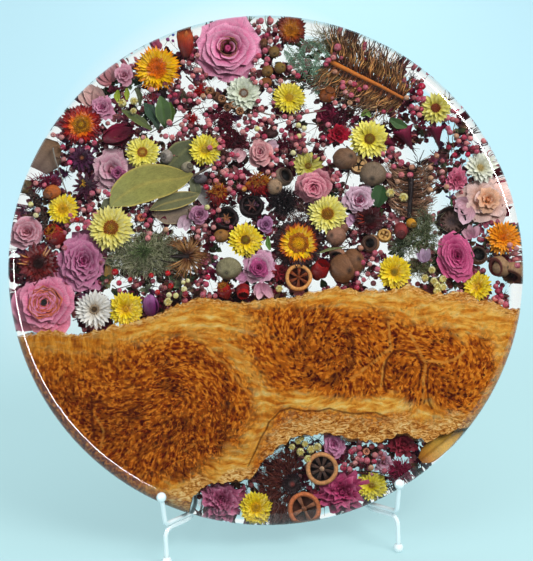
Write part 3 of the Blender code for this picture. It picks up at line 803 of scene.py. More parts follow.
    def spin_of(self, profile, stops_or_cols, steps=20, squash=(1, 1), centre=(0, 0, 0), wobble=0.0, lobes=5):
        """Turned body; colours are one per profile point."""
        g = lathe(profile, steps)
        if wobble:
            a = np.linspace(0, TAU, steps, endpoint=False)
            k = 1 + wobble * np.cos(lobes * a)[None, :, None]
            g = np.concatenate([g[..., :2] * k, g[..., 2:]], -1)
        g = g * np.array((squash[0], squash[1], 1.0)) + np.asarray(centre, float)
        col = np.array([lin(c) for c in stops_or_cols])[:, None, :] * np.ones((1, steps, 1))
        a = np.linspace(0, TAU, steps, endpoint=False)
        length = np.concatenate([[0], np.cumsum(np.hypot(*np.diff(np.asarray(profile, float), axis=0).T))])
        gr = np.stack(np.broadcast_arrays(length[:, None], a[None, :] * 0.004, 0.3), -1)
        self.sheets(g[None], col[None], gr[None], closed=True)

    def balls(self, pts, radii, colours, squash=1.0, small=False):
        ball_v, ball_f = SMALL_BALL if small else FULL_BALL
        pts = np.asarray(pts, float).reshape(-1, 3)
        n = len(pts)
        radii = np.broadcast_to(np.asarray(radii, float), (n,))
        colours = np.asarray(colours, float)
        colours = np.broadcast_to(colours, (n, 3))
        for k in range(n):
            r = turn(self.rng.normal(size=3), self.rng.uniform(0, 3))
            v = (ball_v * np.array((1, 1, squash))) @ r.T * radii[k] + pts[k]
            dark = 1 - 0.55 * np.clip((ball_v[:, 2:] - 0.9) / 0.1, 0, 1)
            verts = v @ self.rot.T + self.o
            self.v.append(verts)
            self.c.append(colours[k] * dark * self.rng.uniform(0.88, 1.1))
            self.g.append(ball_v * radii[k] + self.rng.uniform(0, 1))
            self.f.extend([tuple(i + self.n for i in f) for f in ball_f])
            self.m.extend([0] * len(ball_f))
            self.n += len(ball_v)

    def hairs(self, roots, dirs, length, radius, bend, stops, seg=4, sides=3, taper=0.35, lights=None, wiggle=0.0):
        roots, dirs = np.asarray(roots, float), np.asarray(dirs, float)
        N = len(roots)
        dirs = dirs / np.linalg.norm(dirs, axis=1, keepdims=True)
        length = np.broadcast_to(np.asarray(length, float), (N,))
        radius = np.broadcast_to(np.asarray(radius, float), (N,))
        bend = np.broadcast_to(np.asarray(bend, float), (N, 3))
        s = np.linspace(0, 1, seg + 1)
        c = roots[:, None] + dirs[:, None] * (length[:, None] * s)[..., None] + bend[:, None] * (length[:, None] * s ** 2)[..., None]
        if wiggle:
            side = np.cross(dirs, (0, 0, 1.0))
            wave = np.sin(s[None, :] * 2.2 * TAU + self.rng.uniform(0, 1.6, (N, 1))) * s[None, :] ** 0.5
            c = c + side[:, None] * (wiggle * length[:, None] * wave)[..., None]
        tan = np.gradient(c, axis=1)
        tan /= np.linalg.norm(tan, axis=2, keepdims=True) + 1e-12
        ref = np.where(np.abs(tan[..., 2:]) < 0.9, [[[0, 0, 1.0]]], [[[1.0, 0, 0]]])
        e1 = np.cross(tan, ref)
        e1 /= np.linalg.norm(e1, axis=2, keepdims=True) + 1e-12
        e2 = np.cross(tan, e1)
        a = np.linspace(0, TAU, sides, endpoint=False)
        rad = radius[:, None] * (1 - (1 - taper) * s)
        p = c[:, :, None] + rad[..., None, None] * (np.cos(a)[None, None, :, None] * e1[:, :, None] + np.sin(a)[None, None, :, None] * e2[:, :, None])
        k = self.rng.uniform(0.75, 1.2, (N, 1, 1, 1)) if lights is None else np.asarray(lights).reshape(N, 1, 1, 1)
        col = shade(stops, s)[None, :, None, :] * k
        gr = np.stack(np.broadcast_arrays((length[:, None] * s)[..., None], a[None, None, :] * 0.0005, self.rng.uniform(0, 9, (N, 1, 1))), -1)
        self.sheets(p, np.broadcast_to(col, p.shape), gr, closed=True)
        # the tips of the hairs
        return c[:, -1]

    def tube(self, pts, radii, stops, sides=6):
        """One bent stem through the points."""
        pts = np.asarray(pts, float)
        n = len(pts)
        tan = np.gradient(pts, axis=0)
        tan /= np.linalg.norm(tan, axis=1, keepdims=True) + 1e-12
        ref = np.array((0.1, 0.2, 1.0))
        e1 = np.cross(tan, ref)
        e1 /= np.linalg.norm(e1, axis=1, keepdims=True) + 1e-12
        e2 = np.cross(tan, e1)
        a = np.linspace(0, TAU, sides, endpoint=False)
        radii = np.broadcast_to(np.asarray(radii, float), (n,))
        p = pts[:, None] + radii[:, None, None] * (np.cos(a)[None, :, None] * e1[:, None] + np.sin(a)[None, :, None] * e2[:, None])
        s = np.linspace(0, 1, n)
        length = np.concatenate([[0], np.cumsum(np.linalg.norm(np.diff(pts, axis=0), axis=1))])
        gr = np.stack(np.broadcast_arrays(length[:, None], a[None, :] * 0.001, 0.1), -1)
        self.sheets(p[None], shade(stops, s)[None, :, None, :] * np.ones((1, 1, sides, 1)), gr[None], closed=True)

    def blades(self, roots, dirs, normals, length, width, stops, seg=4, bend=0.0, fold=0.25, tip=0.6, lights=None):
        """Small leaflets."""
        roots, dirs, normals = (np.asarray(q, float) for q in (roots, dirs, normals))
        N = len(roots)
        dirs = dirs / np.linalg.norm(dirs, axis=1, keepdims=True)
        sidev = np.cross(normals, dirs)
        sidev /= np.linalg.norm(sidev, axis=1, keepdims=True) + 1e-12
        nrm = np.cross(dirs, sidev)
        length = np.broadcast_to(np.asarray(length, float), (N,))
        width = np.broadcast_to(np.asarray(width, float), (N,))
        bend = np.broadcast_to(np.asarray(bend, float), (N,))
        s, t = np.linspace(0, 1, seg + 1), np.array((-1.0, 0.0, 1.0))
        w = np.clip(1 - s, 0, 1) ** tip * (0.2 + 0.8 * np.sin(np.pi / 2 * np.minimum(1, s / 0.4)))
        w[-1] = 0.03
        c = roots[:, None] + dirs[:, None] * (length[:, None] * s)[..., None] + nrm[:, None] * (bend[:, None] * length[:, None] * s ** 2)[..., None]
        half = width[:, None] / 2 * w
        p = c[:, :, None] + sidev[:, None, None] * (half[:, :, None] * t)[..., None] + nrm[:, None, None] * (half[:, :, None] * np.abs(t) * fold)[..., None]
        k = self.rng.uniform(0.8, 1.15, (N, 1, 1, 1)) if lights is None else np.asarray(lights).reshape(N, 1, 1, 1)
        col = shade(stops, s)[None, :, None, :] * k * (1 - 0.12 * (1 - np.abs(t)))[None, None, :, None]
        gr = np.stack(np.broadcast_arrays((length[:, None] * s)[..., None], half[:, :, None] * t, self.rng.uniform(0, 9, (N, 1, 1))), -1)
        self.sheets(p, np.broadcast_to(col, p.shape), gr)

    def finish(self, name, mat, smooth=True):
        """Keeps the piece inside the resin and out of the wood, then makes the object."""
        v = np.concatenate(self.v)
        lim_r, lim_h, e = DISC_R - 0.0009, DISC_T / 2 - 0.0007, EDGE_R - 0.0009
        rho = np.hypot(v[:, 0], v[:, 1])
        k = np.minimum(1, lim_r / np.maximum(rho, 1e-9))
        v[:, 0] *= k
        v[:, 1] *= k
        rho = np.hypot(v[:, 0], v[:, 1])
        over = np.clip(rho - (lim_r - e), 0, e)
        top = lim_h - e + np.sqrt(np.maximum(e * e - over * over, 0))
        v[:, 2] = np.clip(v[:, 2], -top, top)
        deep = (v[:, 1] < upper_v(v[:, 0], amp=0) - 0.0035) & (v[:, 1] > lower_v(v[:, 0], amp=0) + 0.0035)
        if deep.any():
            keep = [i for i, f in enumerate(self.f) if not all(deep[q] for q in f)]
            self.f = [self.f[i] for i in keep]
            self.m = [self.m[i] for i in keep]
            used = np.zeros(len(v), bool)
            for f in self.f:
                used[list(f)] = True
            new = np.cumsum(used) - 1
            self.f = [tuple(int(new[q]) for q in f) for f in self.f]
            v, self.c, self.g = v[used], [np.concatenate(self.c)[used]], [np.concatenate(self.g)[used]]
        self.v = [v]
        if not self.f:
            return None
        o = self.object(name, mat, smooth=smooth)
        a = o.data.attributes.new("grain", "FLOAT_VECTOR", "POINT")
        a.data.foreach_set("vector", np.concatenate(self.g).astype(np.float32).ravel())
        COUNT[0] += sum(len(f) - 2 for f in self.f)
        COUNT[1] += 1
        return o


COUNT = [0, 0]


def tinted(name, vein=(120.0, 1700.0), amount=0.5, blotch=0.35, rough=0.55, spec=0.2, bump=0.25, scale=140.0, fine=900.0):
    """Finish that carries the painted tint, streaked along the grain and mottled."""
    n = Nodes(name)
    tint = n.node("ShaderNodeVertexColor", layer_name="tint").outputs["Color"]
    grain = n.node("ShaderNodeAttribute", attribute_name="grain").outputs["Vector"]
    v = n.noise(1.0, 3.0, 0.6, vector=n.mapped(scale=(vein[0], vein[1], 11.0), vector=grain))
    m = n.noise(scale, 4.0, 0.6)
    f = n.noise(fine, 2.0, 0.6)
    k = n.math("MULTIPLY_ADD", n.math("SUBTRACT", v, 0.5), amount * 2.2, 1.0)
    k = n.math("ADD", k, n.math("MULTIPLY", n.math("SUBTRACT", m, 0.5), blotch * 2.0))
    k = n.math("ADD", k, n.math("MULTIPLY", n.math("SUBTRACT", f, 0.5), 0.35))
    k = n.math("MAXIMUM", k, 0.25)
    c = n.node("ShaderNodeVectorMath", operation="SCALE")
    n.link(tint, c.inputs[0])
    n.link(k, c.inputs["Scale"])
    n.link(c.outputs["Vector"], n.bsdf.inputs["Base Color"])
    n.set(rough=rough, spec=spec)
    n.bump(n.math("ADD", v, n.math("MULTIPLY", f, 0.5)), bump, 0.0005)
    return n.mat


PETAL = tinted("dried_petal")
PAPER = tinted("paper_petal", vein=(90.0, 2600.0), amount=0.30, blotch=0.16, rough=0.42, spec=0.3, bump=0.2)
LEAF = tinted("dried_leaf", vein=(700.0, 900.0), amount=0.34, blotch=0.40, rough=0.5, spec=0.25, bump=0.3, scale=90.0)
NUT = tinted("gum_nut", vein=(260.0, 2400.0), amount=0.6, blotch=0.5, rough=0.6, spec=0.25, bump=0.5, scale=240.0)
BERRY = tinted("pepper_berry", vein=(500.0, 500.0), amount=0.45, blotch=0.3, rough=0.4, spec=0.4, bump=0.35, scale=400.0)
HAIR = tinted("dried_filament", vein=(400.0, 400.0), amount=0.25, blotch=0.3, rough=0.6, spec=0.25, bump=0.1)


# ---------------------------------------------------------------- kinds of specimen
def dome(it, rc, h, z0, stops, n=70, size=0.14, tall=1.0):
    """Flower centre: packed florets on a low dome."""
    it.spin_of([(rc * math.sin(a), z0 + h * math.cos(a)) for a in np.linspace(math.pi / 2, 0.02, 6)],
               [stops[-1][1]] + [stops[min(len(stops) - 1, 1)][1]] * 4 + [stops[0][1]], 18)
    i = np.arange(n)
    share = np.sqrt((i + 0.5) / n)
    a = i * 2.39996
    rad = rc * share * 0.97
    z = z0 + h * np.sqrt(np.maximum(0, 1 - (share * 0.95) ** 2))
    roots = np.stack([rad * np.cos(a), rad * np.sin(a), z - 0.0002], -1)
    dirs = np.stack([0.5 * share * np.cos(a), 0.5 * share * np.sin(a), np.ones(n)], -1)
    col = shade(stops, share) * it.rng.uniform(0.75, 1.2, (n, 1))
    s = np.linspace(0, 1, 3)
    L = rc * 0.22 * tall * it.rng.uniform(0.7, 1.2, n)
    e1 = np.stack([-np.sin(a), np.cos(a), np.zeros(n)], -1)
    dirs = dirs / np.linalg.norm(dirs, axis=1, keepdims=True)
    e2 = np.cross(dirs, e1)
    q = np.linspace(0, TAU, 4, endpoint=False)
    w = rc * size * np.array((1.0, 0.9, 0.12))
    c = roots[:, None] + dirs[:, None] * (L[:, None] * s)[..., None]
    p = c[:, :, None] + w[None, :, None, None] * (np.cos(q)[None, None, :, None] * e1[:, None, None] + np.sin(q)[None, None, :, None] * e2[:, None, None])
    it.sheets(p, np.broadcast_to(col[:, None, None, :] * np.array((0.7, 1.0, 1.1))[None, :, None, None], p.shape), closed=True)


def rows_flower(it, r, rows, centre, rc=0.3, z0=0.0, dome_h=0.35, n=70, wave=0.1, tip=0.23, shrink=0.12, fat=1.35, base=0.55):
    """Paper daisies and strawflowers: rows of stiff pointed petals round a centre."""
    for count, reach, width, lift, curl, stops in rows:
        count = int(count * 1.4)
        k = np.arange(count)
        phi = it.rng.uniform(0, TAU) + TAU * (k + it.rng.uniform(-0.2, 0.2, count)) / count
        L = r * (reach * it.rng.uniform(0.90, 1.06, count) - shrink)
        it.petals(phi, r * shrink, L, r * width * fat * it.rng.uniform(0.85, 1.12, count), lift + it.rng.normal(0, 0.07, count),
                  curl + it.rng.normal(0, 0.12, count), 0.35, z0, stops, nu=6, nv=5, wave=wave, tip=tip, base=base)
    dome(it, r * rc, r * rc * dome_h, z0 + r * 0.05, centre, n)


def rose(it, r, stops, n=26, height=0.5, frill=0.05, jag=0.0, curl=0.10, core=None, flat=0.0, nv=8, nu=7, tight=1.0, edge=0.05):
    k = np.arange(n)
    f = (k + 0.5) / n
    phi = k * 2.39996 + it.rng.normal(0, 0.12, n)
    r_tip = r * (0.10 + 0.90 * f ** (0.85 * tight)) * it.rng.uniform(0.93, 1.06, n)
    z_tip = r * height * (1 - f ** 1.7) * it.rng.uniform(0.9, 1.08, n) - flat * r * f
    it.cups(phi, 1.25 - 0.50 * f, r_tip * 0.30, r_tip, -r * 0.10 * (1 - f) - r * 0.18 * f, z_tip, r * curl * f, stops,
            nu=nu, nv=nv, frill=frill, jag=jag, edge=edge)
    it.spin_of([(r * 0.16, -r * 0.05), (r * 0.13, r * height * 0.45), (r * 0.07, r * height * 0.62), (r * 0.004, r * height * 0.50)],
               [stops[0][1]] * 2 + [stops[1][1], stops[0][1]], 10, wobble=0.12, lobes=3)
    if core:
        dome(it, r * 0.13, r * 0.10, r * height * 0.35, [(0, core), (1, core)], 24)
    # green base at the back
    it.spin_of([(r * 0.05, -r * 0.42), (r * 0.16, -r * 0.34), (r * 0.24, -r * 0.22), (r * 0.16, -r * 0.12)],
               [(96, 96, 44), (110, 110, 52), (104, 90, 48), (90, 70, 40)], 10)


def bud(it, r, length, stops, n=9, calyx=(98, 100, 48), frill=0.04):
    """Closed flower, standing along its z axis from its base."""
    k = np.arange(n)
    f = (k + 0.5) / n
    phi = k * 2.39996
    s, t = np.linspace(0, 1, 8)[None, :, None], np.linspace(-1, 1, 7)[None, None, :]
    top = (1 - 0.22 * t ** 2)
    ss = s * top
    belly = np.sin(np.pi * (0.10 + 0.78 * ss)) ** 0.8
    R = r * (0.35 + 0.65 * f[:, None, None]) * belly + r * 0.10 * f[:, None, None] * ss ** 4
    R = R * (1 + frill * np.sin(t * 5 + phi[:, None, None]))
    ang = phi[:, None, None] + (1.3 - 0.4 * f[:, None, None]) * t
    Z = length * (ss * (1.0 - 0.14 * f[:, None, None]))
    p = np.stack(np.broadcast_arrays(R * np.cos(ang), R * np.sin(ang), Z), -1)
    col = shade(stops, ss) * it.rng.uniform(0.85, 1.12, (n, 1, 1, 1))
    gr = np.stack(np.broadcast_arrays(Z, ang * r, f[:, None, None] * 9), -1)
    it.sheets(p, np.broadcast_to(col, p.shape), gr)
    if calyx:
        it.petals(np.arange(5) * TAU / 5, r * 0.2, length * 0.5, r * 0.5, 1.0, 0.5, 0.6, -length * 0.02,
                  [(0, calyx), (1, tuple(int(c * 1.25) for c in calyx))])
        it.hairs([(0, 0, 0)], [(0.05, 0.02, -1)], length * 0.35, r * 0.12, (0.1, 0, 0), [(0, calyx), (1, calyx)])


def nut_cup(it, r, h, body, rim, hole, steps=22, mouth=0.62, valves=4, star=None, wobble=0.0):
    """Open gum nut seen from its mouth; stands along z, mouth at z = 0."""
    prof = [(r * 0.12, -h * 1.25), (r * 0.20, -h), (r * 0.62, -h * 0.9), (r * 0.95, -h * 0.62), (r * 1.0, -h * 0.35),
            (r * 0.88, -h * 0.12), (r * 0.86, -h * 0.02), (r * 0.80, 0.0), (r * mouth * 1.05, -h * 0.01),
            (r * mouth, -h * 0.06), (r * mouth * 0.92, -h * 0.30), (r * mouth * 0.8, -h * 0.45), (r * 0.01, -h * 0.5)]
    cols = [body, body, body, body, tuple(int(c * 1.1) for c in body), body, rim, rim, rim, rim, hole, hole, hole]
    it.spin_of(prof, cols, steps, wobble=wobble)
    if valves:
        k = np.arange(valves)
        phi = TAU * k / valves + 0.3
        it.petals(phi, r * mouth * 0.95, r * mouth * 0.72, r * mouth * 1.0, np.pi - 0.05 + 0 * phi, 0.55, 0.2, -h * 0.10,
                  [(0, star or rim), (1, star or rim)], nu=4, nv=3)


def nut_slice(it, r, thick, rim, inner, dark, chambers=5, core=None):
    """Sawn gum nut: a woody ring with chambers in star form."""
    prof = [(r * 0.55, -thick), (r * 0.96, -thick), (r, -thick * 0.8), (r, -thick * 0.1), (r * 0.97, 0), (r * 0.86, thick * 0.02),
            (r * 0.76, 0), (r * 0.72, -thick * 0.15), (r * 0.70, -thick * 0.45), (r * 0.02, -thick * 0.5)]
    cols = [inner, inner, tuple(int(c * 0.8) for c in rim), rim, rim, tuple(min(255, int(c * 1.12)) for c in rim), rim, inner, dark, dark]
    it.spin_of(prof, cols, 30, wobble=0.015, lobes=3)
    a = TAU * np.arange(chambers) / chambers + 0.4
    # walls between chambers: fat wedges standing up from the floor
    for q in a:
        w, R = 0.30, r * 0.74
        out = np.array([[0.06 * r, -0.05 * r], [R * math.cos(w * 0.5), -R * math.sin(w * 0.62)], [R * math.cos(w * 0.5), R * math.sin(w * 0.62)],
                        [0.06 * r, 0.05 * r]])
        c, s = math.cos(q), math.sin(q)
        xy = np.stack([out[:, 0] * c - out[:, 1] * s, out[:, 0] * s + out[:, 1] * c], -1)
        top = np.column_stack([xy, np.full(4, -thick * 0.12)])
        bot = np.column_stack([xy, np.full(4, -thick * 0.5)])
        it.put(np.concatenate([top, bot]), [(0, 1, 2, 3), (0, 4, 5, 1), (1, 5, 6, 2), (2, 6, 7, 3), (3, 7, 4, 0)],
               np.concatenate([np.tile(lin(inner) * 1.2, (4, 1)), np.tile(lin(dark), (4, 1))]))
    core = core or inner
    it.spin_of([(r * 0.17, -thick * 0.45), (r * 0.15, -thick * 0.10), (r * 0.01, -thick * 0.05)], [dark, core, core], 10)


def bullet(it, r, length, cols, steps=16, tip=0.0):
    """Long pointed nut along z."""
    prof = [(r * 0.25, 0), (r * 0.55, length * 0.05), (r * 0.95, length * 0.3), (r, length * 0.55), (r * 0.8, length * 0.72),
            (r * 0.75, length * 0.76), (r * 0.55, length * 0.88), (r * 0.05, length)]
    it.spin_of(prof, cols, steps)


def goblet(it, r, length, body, rim, stem=(110, 70, 50)):
    """Goblet fruit along z on a thin stem."""
    prof = [(r * 0.14, -length * 0.5), (r * 0.13, 0), (r * 0.35, length * 0.12), (r * 0.85, length * 0.38), (r * 0.95, length * 0.62),
            (r * 0.62, length * 0.85), (r * 0.78, length), (r * 0.60, length * 0.99), (r * 0.50, length * 0.75), (r * 0.02, length * 0.5)]
    it.spin_of(prof, [stem, stem, body, body, body, body, rim, rim, (30, 12, 14), (20, 8, 10)], 16)


def brush(it, path, n, length, radius, stops, lean=0.5, bend=0.3, stem=None, spread=0.5, droop=0.0, taper=0.4, both=True, seg=5, wiggle=0.0, lights=None):
    """Banksia spike: filaments set all along a stem. path is in the item's own frame."""
    path = np.asarray(path, float)
    t = np.linspace(0, 1, len(path))
    rng = it.rng
    u = (np.arange(n) + rng.uniform(0, 1, n)) / n
    root = np.stack([np.interp(u, t, path[:, k]) for k in range(3)], -1)
    d = np.gradient(path, axis=0)
    d /= np.linalg.norm(d, axis=1, keepdims=True)
    along = np.stack([np.interp(u, t, d[:, k]) for k in range(3)], -1)
    z = np.array((0, 0, 1.0))
    across = np.cross(z, along)
    across /= np.linalg.norm(across, axis=1, keepdims=True)
    sgn = np.where(np.arange(n) % 2 == 0, 1, -1)[:, None] if both else 1
    outz = rng.normal(0, spread, (n, 1))
    dirs = across * sgn + along * (lean + rng.normal(0, 0.16, (n, 1))) + z * outz
    L = length * rng.uniform(0.75, 1.1, n) * (1 - 0.35 * np.clip((u - 0.8) / 0.2, 0, 1))
    b = along * (bend + rng.normal(0, 0.15, (n, 1))) - z * np.sign(outz) * rng.uniform(0, 0.3, (n, 1)) + rng.normal(0, 0.08, (n, 3))
    # per-filament brightness picked from lights: random tone, and where the picks are bright, painted highlight on the
    # curling filaments
    k = None if lights is None else rng.choice(lights, n) * rng.uniform(0.8, 1.2, n)
    it.hairs(root, dirs, L, radius, b, stops, seg=seg, sides=3, taper=taper, wiggle=wiggle, lights=k)
    if stem:
        it.tube(path, np.linspace(stem[0], stem[1], len(path)), stem[2], 7)


def fluff(it, centre, radii, n, length, radius, stops, bend=0.4, flat=0.5, seg=3, inward=0.3):
    """Loose tuft of short filaments round a middle."""
    rng = it.rng
    d = rng.normal(size=(n, 3))
    d /= np.linalg.norm(d, axis=1, keepdims=True)
    rad = np.asarray(radii, float) * (rng.uniform(inward, 1, (n, 1)) ** 0.6)
    roots = np.asarray(centre, float) + d * rad * np.array((1, 1, flat))
    dirs = d * np.array((1, 1, flat)) + rng.normal(0, 0.5, (n, 3)) * np.array((1, 1, flat))
    it.hairs(roots, dirs, length * rng.uniform(0.5, 1.2, n), radius, rng.normal(0, bend, (n, 3)) * np.array((1, 1, flat)), stops, seg=seg)


def leaf_shape(it, spine, widths, stops, edge, nu=22, nv=11, fold=0.2, curl=0.0, rib=0.12, wave=0.0, thick=0.0004):
    """One big leaf in the item's own frame: a spine of points and half widths at each."""
    spine = np.asarray(spine, float)
    t0 = np.linspace(0, 1, len(spine))
    s = np.linspace(0, 1, nu)
    c = np.stack([np.interp(s, t0, spine[:, k]) for k in range(3)], -1)
    for _ in range(2):
        c[1:-1] = (c[:-2] + 2 * c[1:-1] + c[2:]) / 4
    w = np.interp(s, np.linspace(0, 1, len(widths)), widths)
    for _ in range(max(1, nu // 6)):
        w[1:-1] = (w[:-2] + 2 * w[1:-1] + w[2:]) / 4
    d = np.gradient(c, axis=0)
    d /= np.linalg.norm(d, axis=1, keepdims=True)
    side = np.cross(np.array((0, 0, 1.0)), d)
    side /= np.linalg.norm(side, axis=1, keepdims=True)
    nrm = np.cross(d, side)
    t = np.linspace(-1, 1, nv)
    lift = fold * np.abs(t)[None, :] * w[:, None] + curl * (t ** 2)[None, :] * w[:, None]
    lift += wave * w[:, None] * np.sin(s * 17)[:, None] * (t ** 2)[None, :]
    lift -= rib * np.exp(-(t / 0.08) ** 2)[None, :] * 0.0012
    p = c[:, None] + side[:, None] * (w[:, None] * t)[..., None] + nrm[:, None] * lift[..., None]
    col = shade(stops, np.broadcast_to(s[:, None], (nu, nv)))
    e = np.clip((np.abs(t) - 0.86) / 0.14, 0, 1)[None, :, None]
    ribk = np.exp(-(t / 0.10) ** 2)[None, :, None]
    col = col * (1 - e) + lin(edge) * e
    col = col * (1 - 0.5 * ribk) + lin(edge) * 0.8 * ribk * 0.5
    gr = np.stack(np.broadcast_arrays(s[:, None] * 0.05, w[:, None] * t, 0.5), -1)
    back_side = p - nrm[:, None] * thick * (1 - t ** 4)[None, :, None]
    it.sheets(np.stack([p, back_side[:, ::-1]]), np.stack([col, col[:, ::-1] * 0.9]), np.stack([gr, gr[:, ::-1]]))


def fern(it, path, n, length, width, stops, stem=(90, 96, 60), lean=0.7, side_twigs=0.0):
    """Frond: leaflets in two rows along a stem."""
    path = np.asarray(path, float)
    t = np.linspace(0, 1, len(path))
    rng = it.rng
    u = np.linspace(0.04, 0.98, n)
    root = np.stack([np.interp(u, t, path[:, k]) for k in range(3)], -1)
    d = np.gradient(path, axis=0)
    d /= np.linalg.norm(d, axis=1, keepdims=True)
    along = np.stack([np.interp(u, t, d[:, k]) for k in range(3)], -1)
    z = np.array((0, 0, 1.0))
    across = np.cross(z, along)
    sgn = np.where(np.arange(n) % 2 == 0, 1, -1)[:, None]
    dirs = across * sgn + along * (lean + rng.normal(0, 0.1, (n, 1))) + z * rng.normal(0, 0.15, (n, 1))
    nrm = np.tile(z, (n, 1)) + rng.normal(0, 0.35, (n, 3))
    L = length * np.sin(np.pi * (0.15 + 0.8 * u)) ** 0.6 * rng.uniform(0.8, 1.1, n)
    it.blades(root, dirs, nrm, L, width * rng.uniform(0.8, 1.2, n), stops, bend=rng.normal(0, 0.15, n))
    it.tube(path, np.linspace(0.0005, 0.00025, len(path)), [(0, stem), (1, stem)], 5)


def cluster(it, pts, r=3.0, cols=None, twig=(92, 60, 48), spread=0.7, root=None, depth=None):
    """Pepper berries on thin twigs. pts are picture places with depth, (px, py, mm[, radius px])."""
    rng = it.rng
    cols = cols or PINKS
    p, rad, col = [], [], []
    for q in pts:
        rr = (q[3] if len(q) > 3 else r) * rng.uniform(0.86, 1.12)
        p.append(it.here(q[0], q[1], q[2] * 0.001))
        rad.append(rr * MM_PX)
        col.append(lin(cols[rng.randint(len(cols))]))
    p = np.array(p)
    it.balls(p, rad, np.array(col))
    if twig is not None and root is not None:
        o = it.here(root[0], root[1], root[2] * 0.001)
        hub = o + (p.mean(0) - o) * 0.45
        it.tube([o, (o + hub) / 2 + rng.normal(0, 0.0008, 3), hub], (0.0006, 0.0005, 0.0004), [(0, twig), (1, twig)], 5)
        d = p - hub
        it.hairs(np.tile(hub, (len(p), 1)), d, np.linalg.norm(d, axis=1), 0.00035, rng.normal(0, 0.02, (len(p), 3)), [(0, twig), (1, (140, 84, 74))], seg=2)


PINKS = [(204, 110, 126), (194, 94, 114), (216, 136, 138), (182, 74, 100), (210, 122, 124), (188, 98, 116), (174, 56, 84),
         (206, 140, 138), (160, 80, 86)]


# ---------------------------------------------------------------- the specimens, set as in the piece
# petal colours run from base (0) to tip (1); the darker base end is partly the petals' own colour and partly painted
# shade where the rows of petals overlap
LEMON = [(0, (176, 140, 24)), (0.3, (226, 208, 52)), (0.7, (247, 236, 88)), (1, (252, 246, 138))]
BRIGHT = [(0, (206, 140, 8)), (0.35, (246, 200, 10)), (0.75, (255, 222, 18)), (1, (255, 236, 78))]
PALE = [(0, (170, 150, 50)), (0.4, (222, 214, 96)), (1, (244, 240, 150))]
OLIVE = [(0, (140, 120, 34)), (0.4, (196, 186, 66)), (1, (224, 220, 120))]
CREAM = [(0, (170, 160, 130)), (0.4, (226, 222, 204)), (1, (250, 250, 240))]
RING = [(0, (206, 182, 84)), (0.4, (190, 146, 52)), (0.68, (160, 92, 20)), (1, (190, 130, 36))]
OLIVE_RING = [(0, (150, 140, 40)), (0.5, (136, 104, 26)), (0.8, (120, 78, 16)), (1, (170, 130, 30))]
YELLOW_RING = [(0, (160, 130, 20)), (0.4, (206, 160, 20)), (0.8, (226, 176, 16)), (1, (236, 190, 20))]
names = {}


def called(base):
    names[base] = names.get(base, 0) + 1
    return f"{base}_{names[base]:02d}"


def item(x, y, depth, seed=None, **kw):
    return Item(x, y, depth * 0.001, seed=seed if seed is not None else int(x * 31 + y * 17) % 9973, **kw)


def daisy(x, y, r, depth, stops=LEMON, centre=RING, rc=0.30, name="paper_daisy", counts=(22, 20, 14), tilt=0.0, toward=0.0,
          dome_h=0.35, wide=0.20, mat=None, wave=0.12):
    it = item(x, y, depth, tilt=tilt, toward=toward)
    R = r * MM_PX
    rows = [(counts[0], 1.0, wide, 0.03, 0.02, stops), (counts[1], 0.90, wide * 0.92, 0.24, -0.06, stops),
            (counts[2], 0.70, wide * 0.84, 0.52, -0.25, stops)]
    rows_flower(it, R, rows, centre, rc=rc, dome_h=dome_h, wave=wave)
    it.petals(np.arange(10) * TAU / 10, R * 0.05, R * 0.5, R * 0.3, -0.15, 0.1, 0.1, -R * 0.05, [(0, (120, 104, 50)), (1, (190, 176, 90))], nu=4, nv=3)
    it.hairs([(0, 0, -R * 0.05)], [(0.3, -0.2, -1)], R * 0.35, 0.0008, (0.1, 0, 0), [(0, (110, 96, 50)), (1, (96, 84, 44))])
    return it.finish(called(name), mat or PAPER)


def roses(x, y, r, depth, stops, n=26, height=0.5, name="rose", tilt=0.0, toward=0.0, core=None, frill=0.05, jag=0.0,
          squash=None, curl=0.10, flat=0.05, tight=1.0, edge=0.05, nv=8, extra=None):
    it = item(x, y, depth, tilt=tilt, toward=toward)
    rose(it, r * MM_PX, stops, n=n, height=height, core=core, frill=frill, jag=jag, curl=curl, flat=flat, tight=tight, edge=edge, nv=nv)
    if extra:
        extra(it, r * MM_PX)
    if squash:
        a = math.radians(squash[2]) if len(squash) > 2 else 0.0
        m = turn((0, 0, 1), a) @ np.diag((squash[0], squash[1], 1.0)) @ turn((0, 0, 1), -a)
        it.v = [(v - it.o) @ m.T + it.o for v in it.v]
    return it.finish(called(name), PETAL)


def big_petals(x, y, depth, items, stops, name="loose_petal", mat=None):
    """Single broad petals: (direction degrees, length px, width px, lift, curl) from one base."""
    it = item(x, y, depth)
    q = np.array(items, float)
    it.petals(np.radians(q[:, 0]), 0.0004, q[:, 1] * MM_PX, q[:, 2] * MM_PX, q[:, 3], q[:, 4], 0.35, 0.0, stops, nu=9, nv=9, tip=0.42,
              wave=0.10, base=0.30)
    return it.finish(called(name), mat or PETAL)


def side_bud(x, y, r, length, depth, direction, stops, name="rosebud", n=9, calyx=(98, 100, 48), lean=80, mat=None):
    """Bud lying along a picture direction (degrees, anticlockwise from right); x, y is its base."""
    it = item(x, y, depth, tilt=lean, toward=direction)
    bud(it, r * MM_PX, length * MM_PX, stops, n=n, calyx=calyx)
    return it.finish(called(name), mat or PETAL)


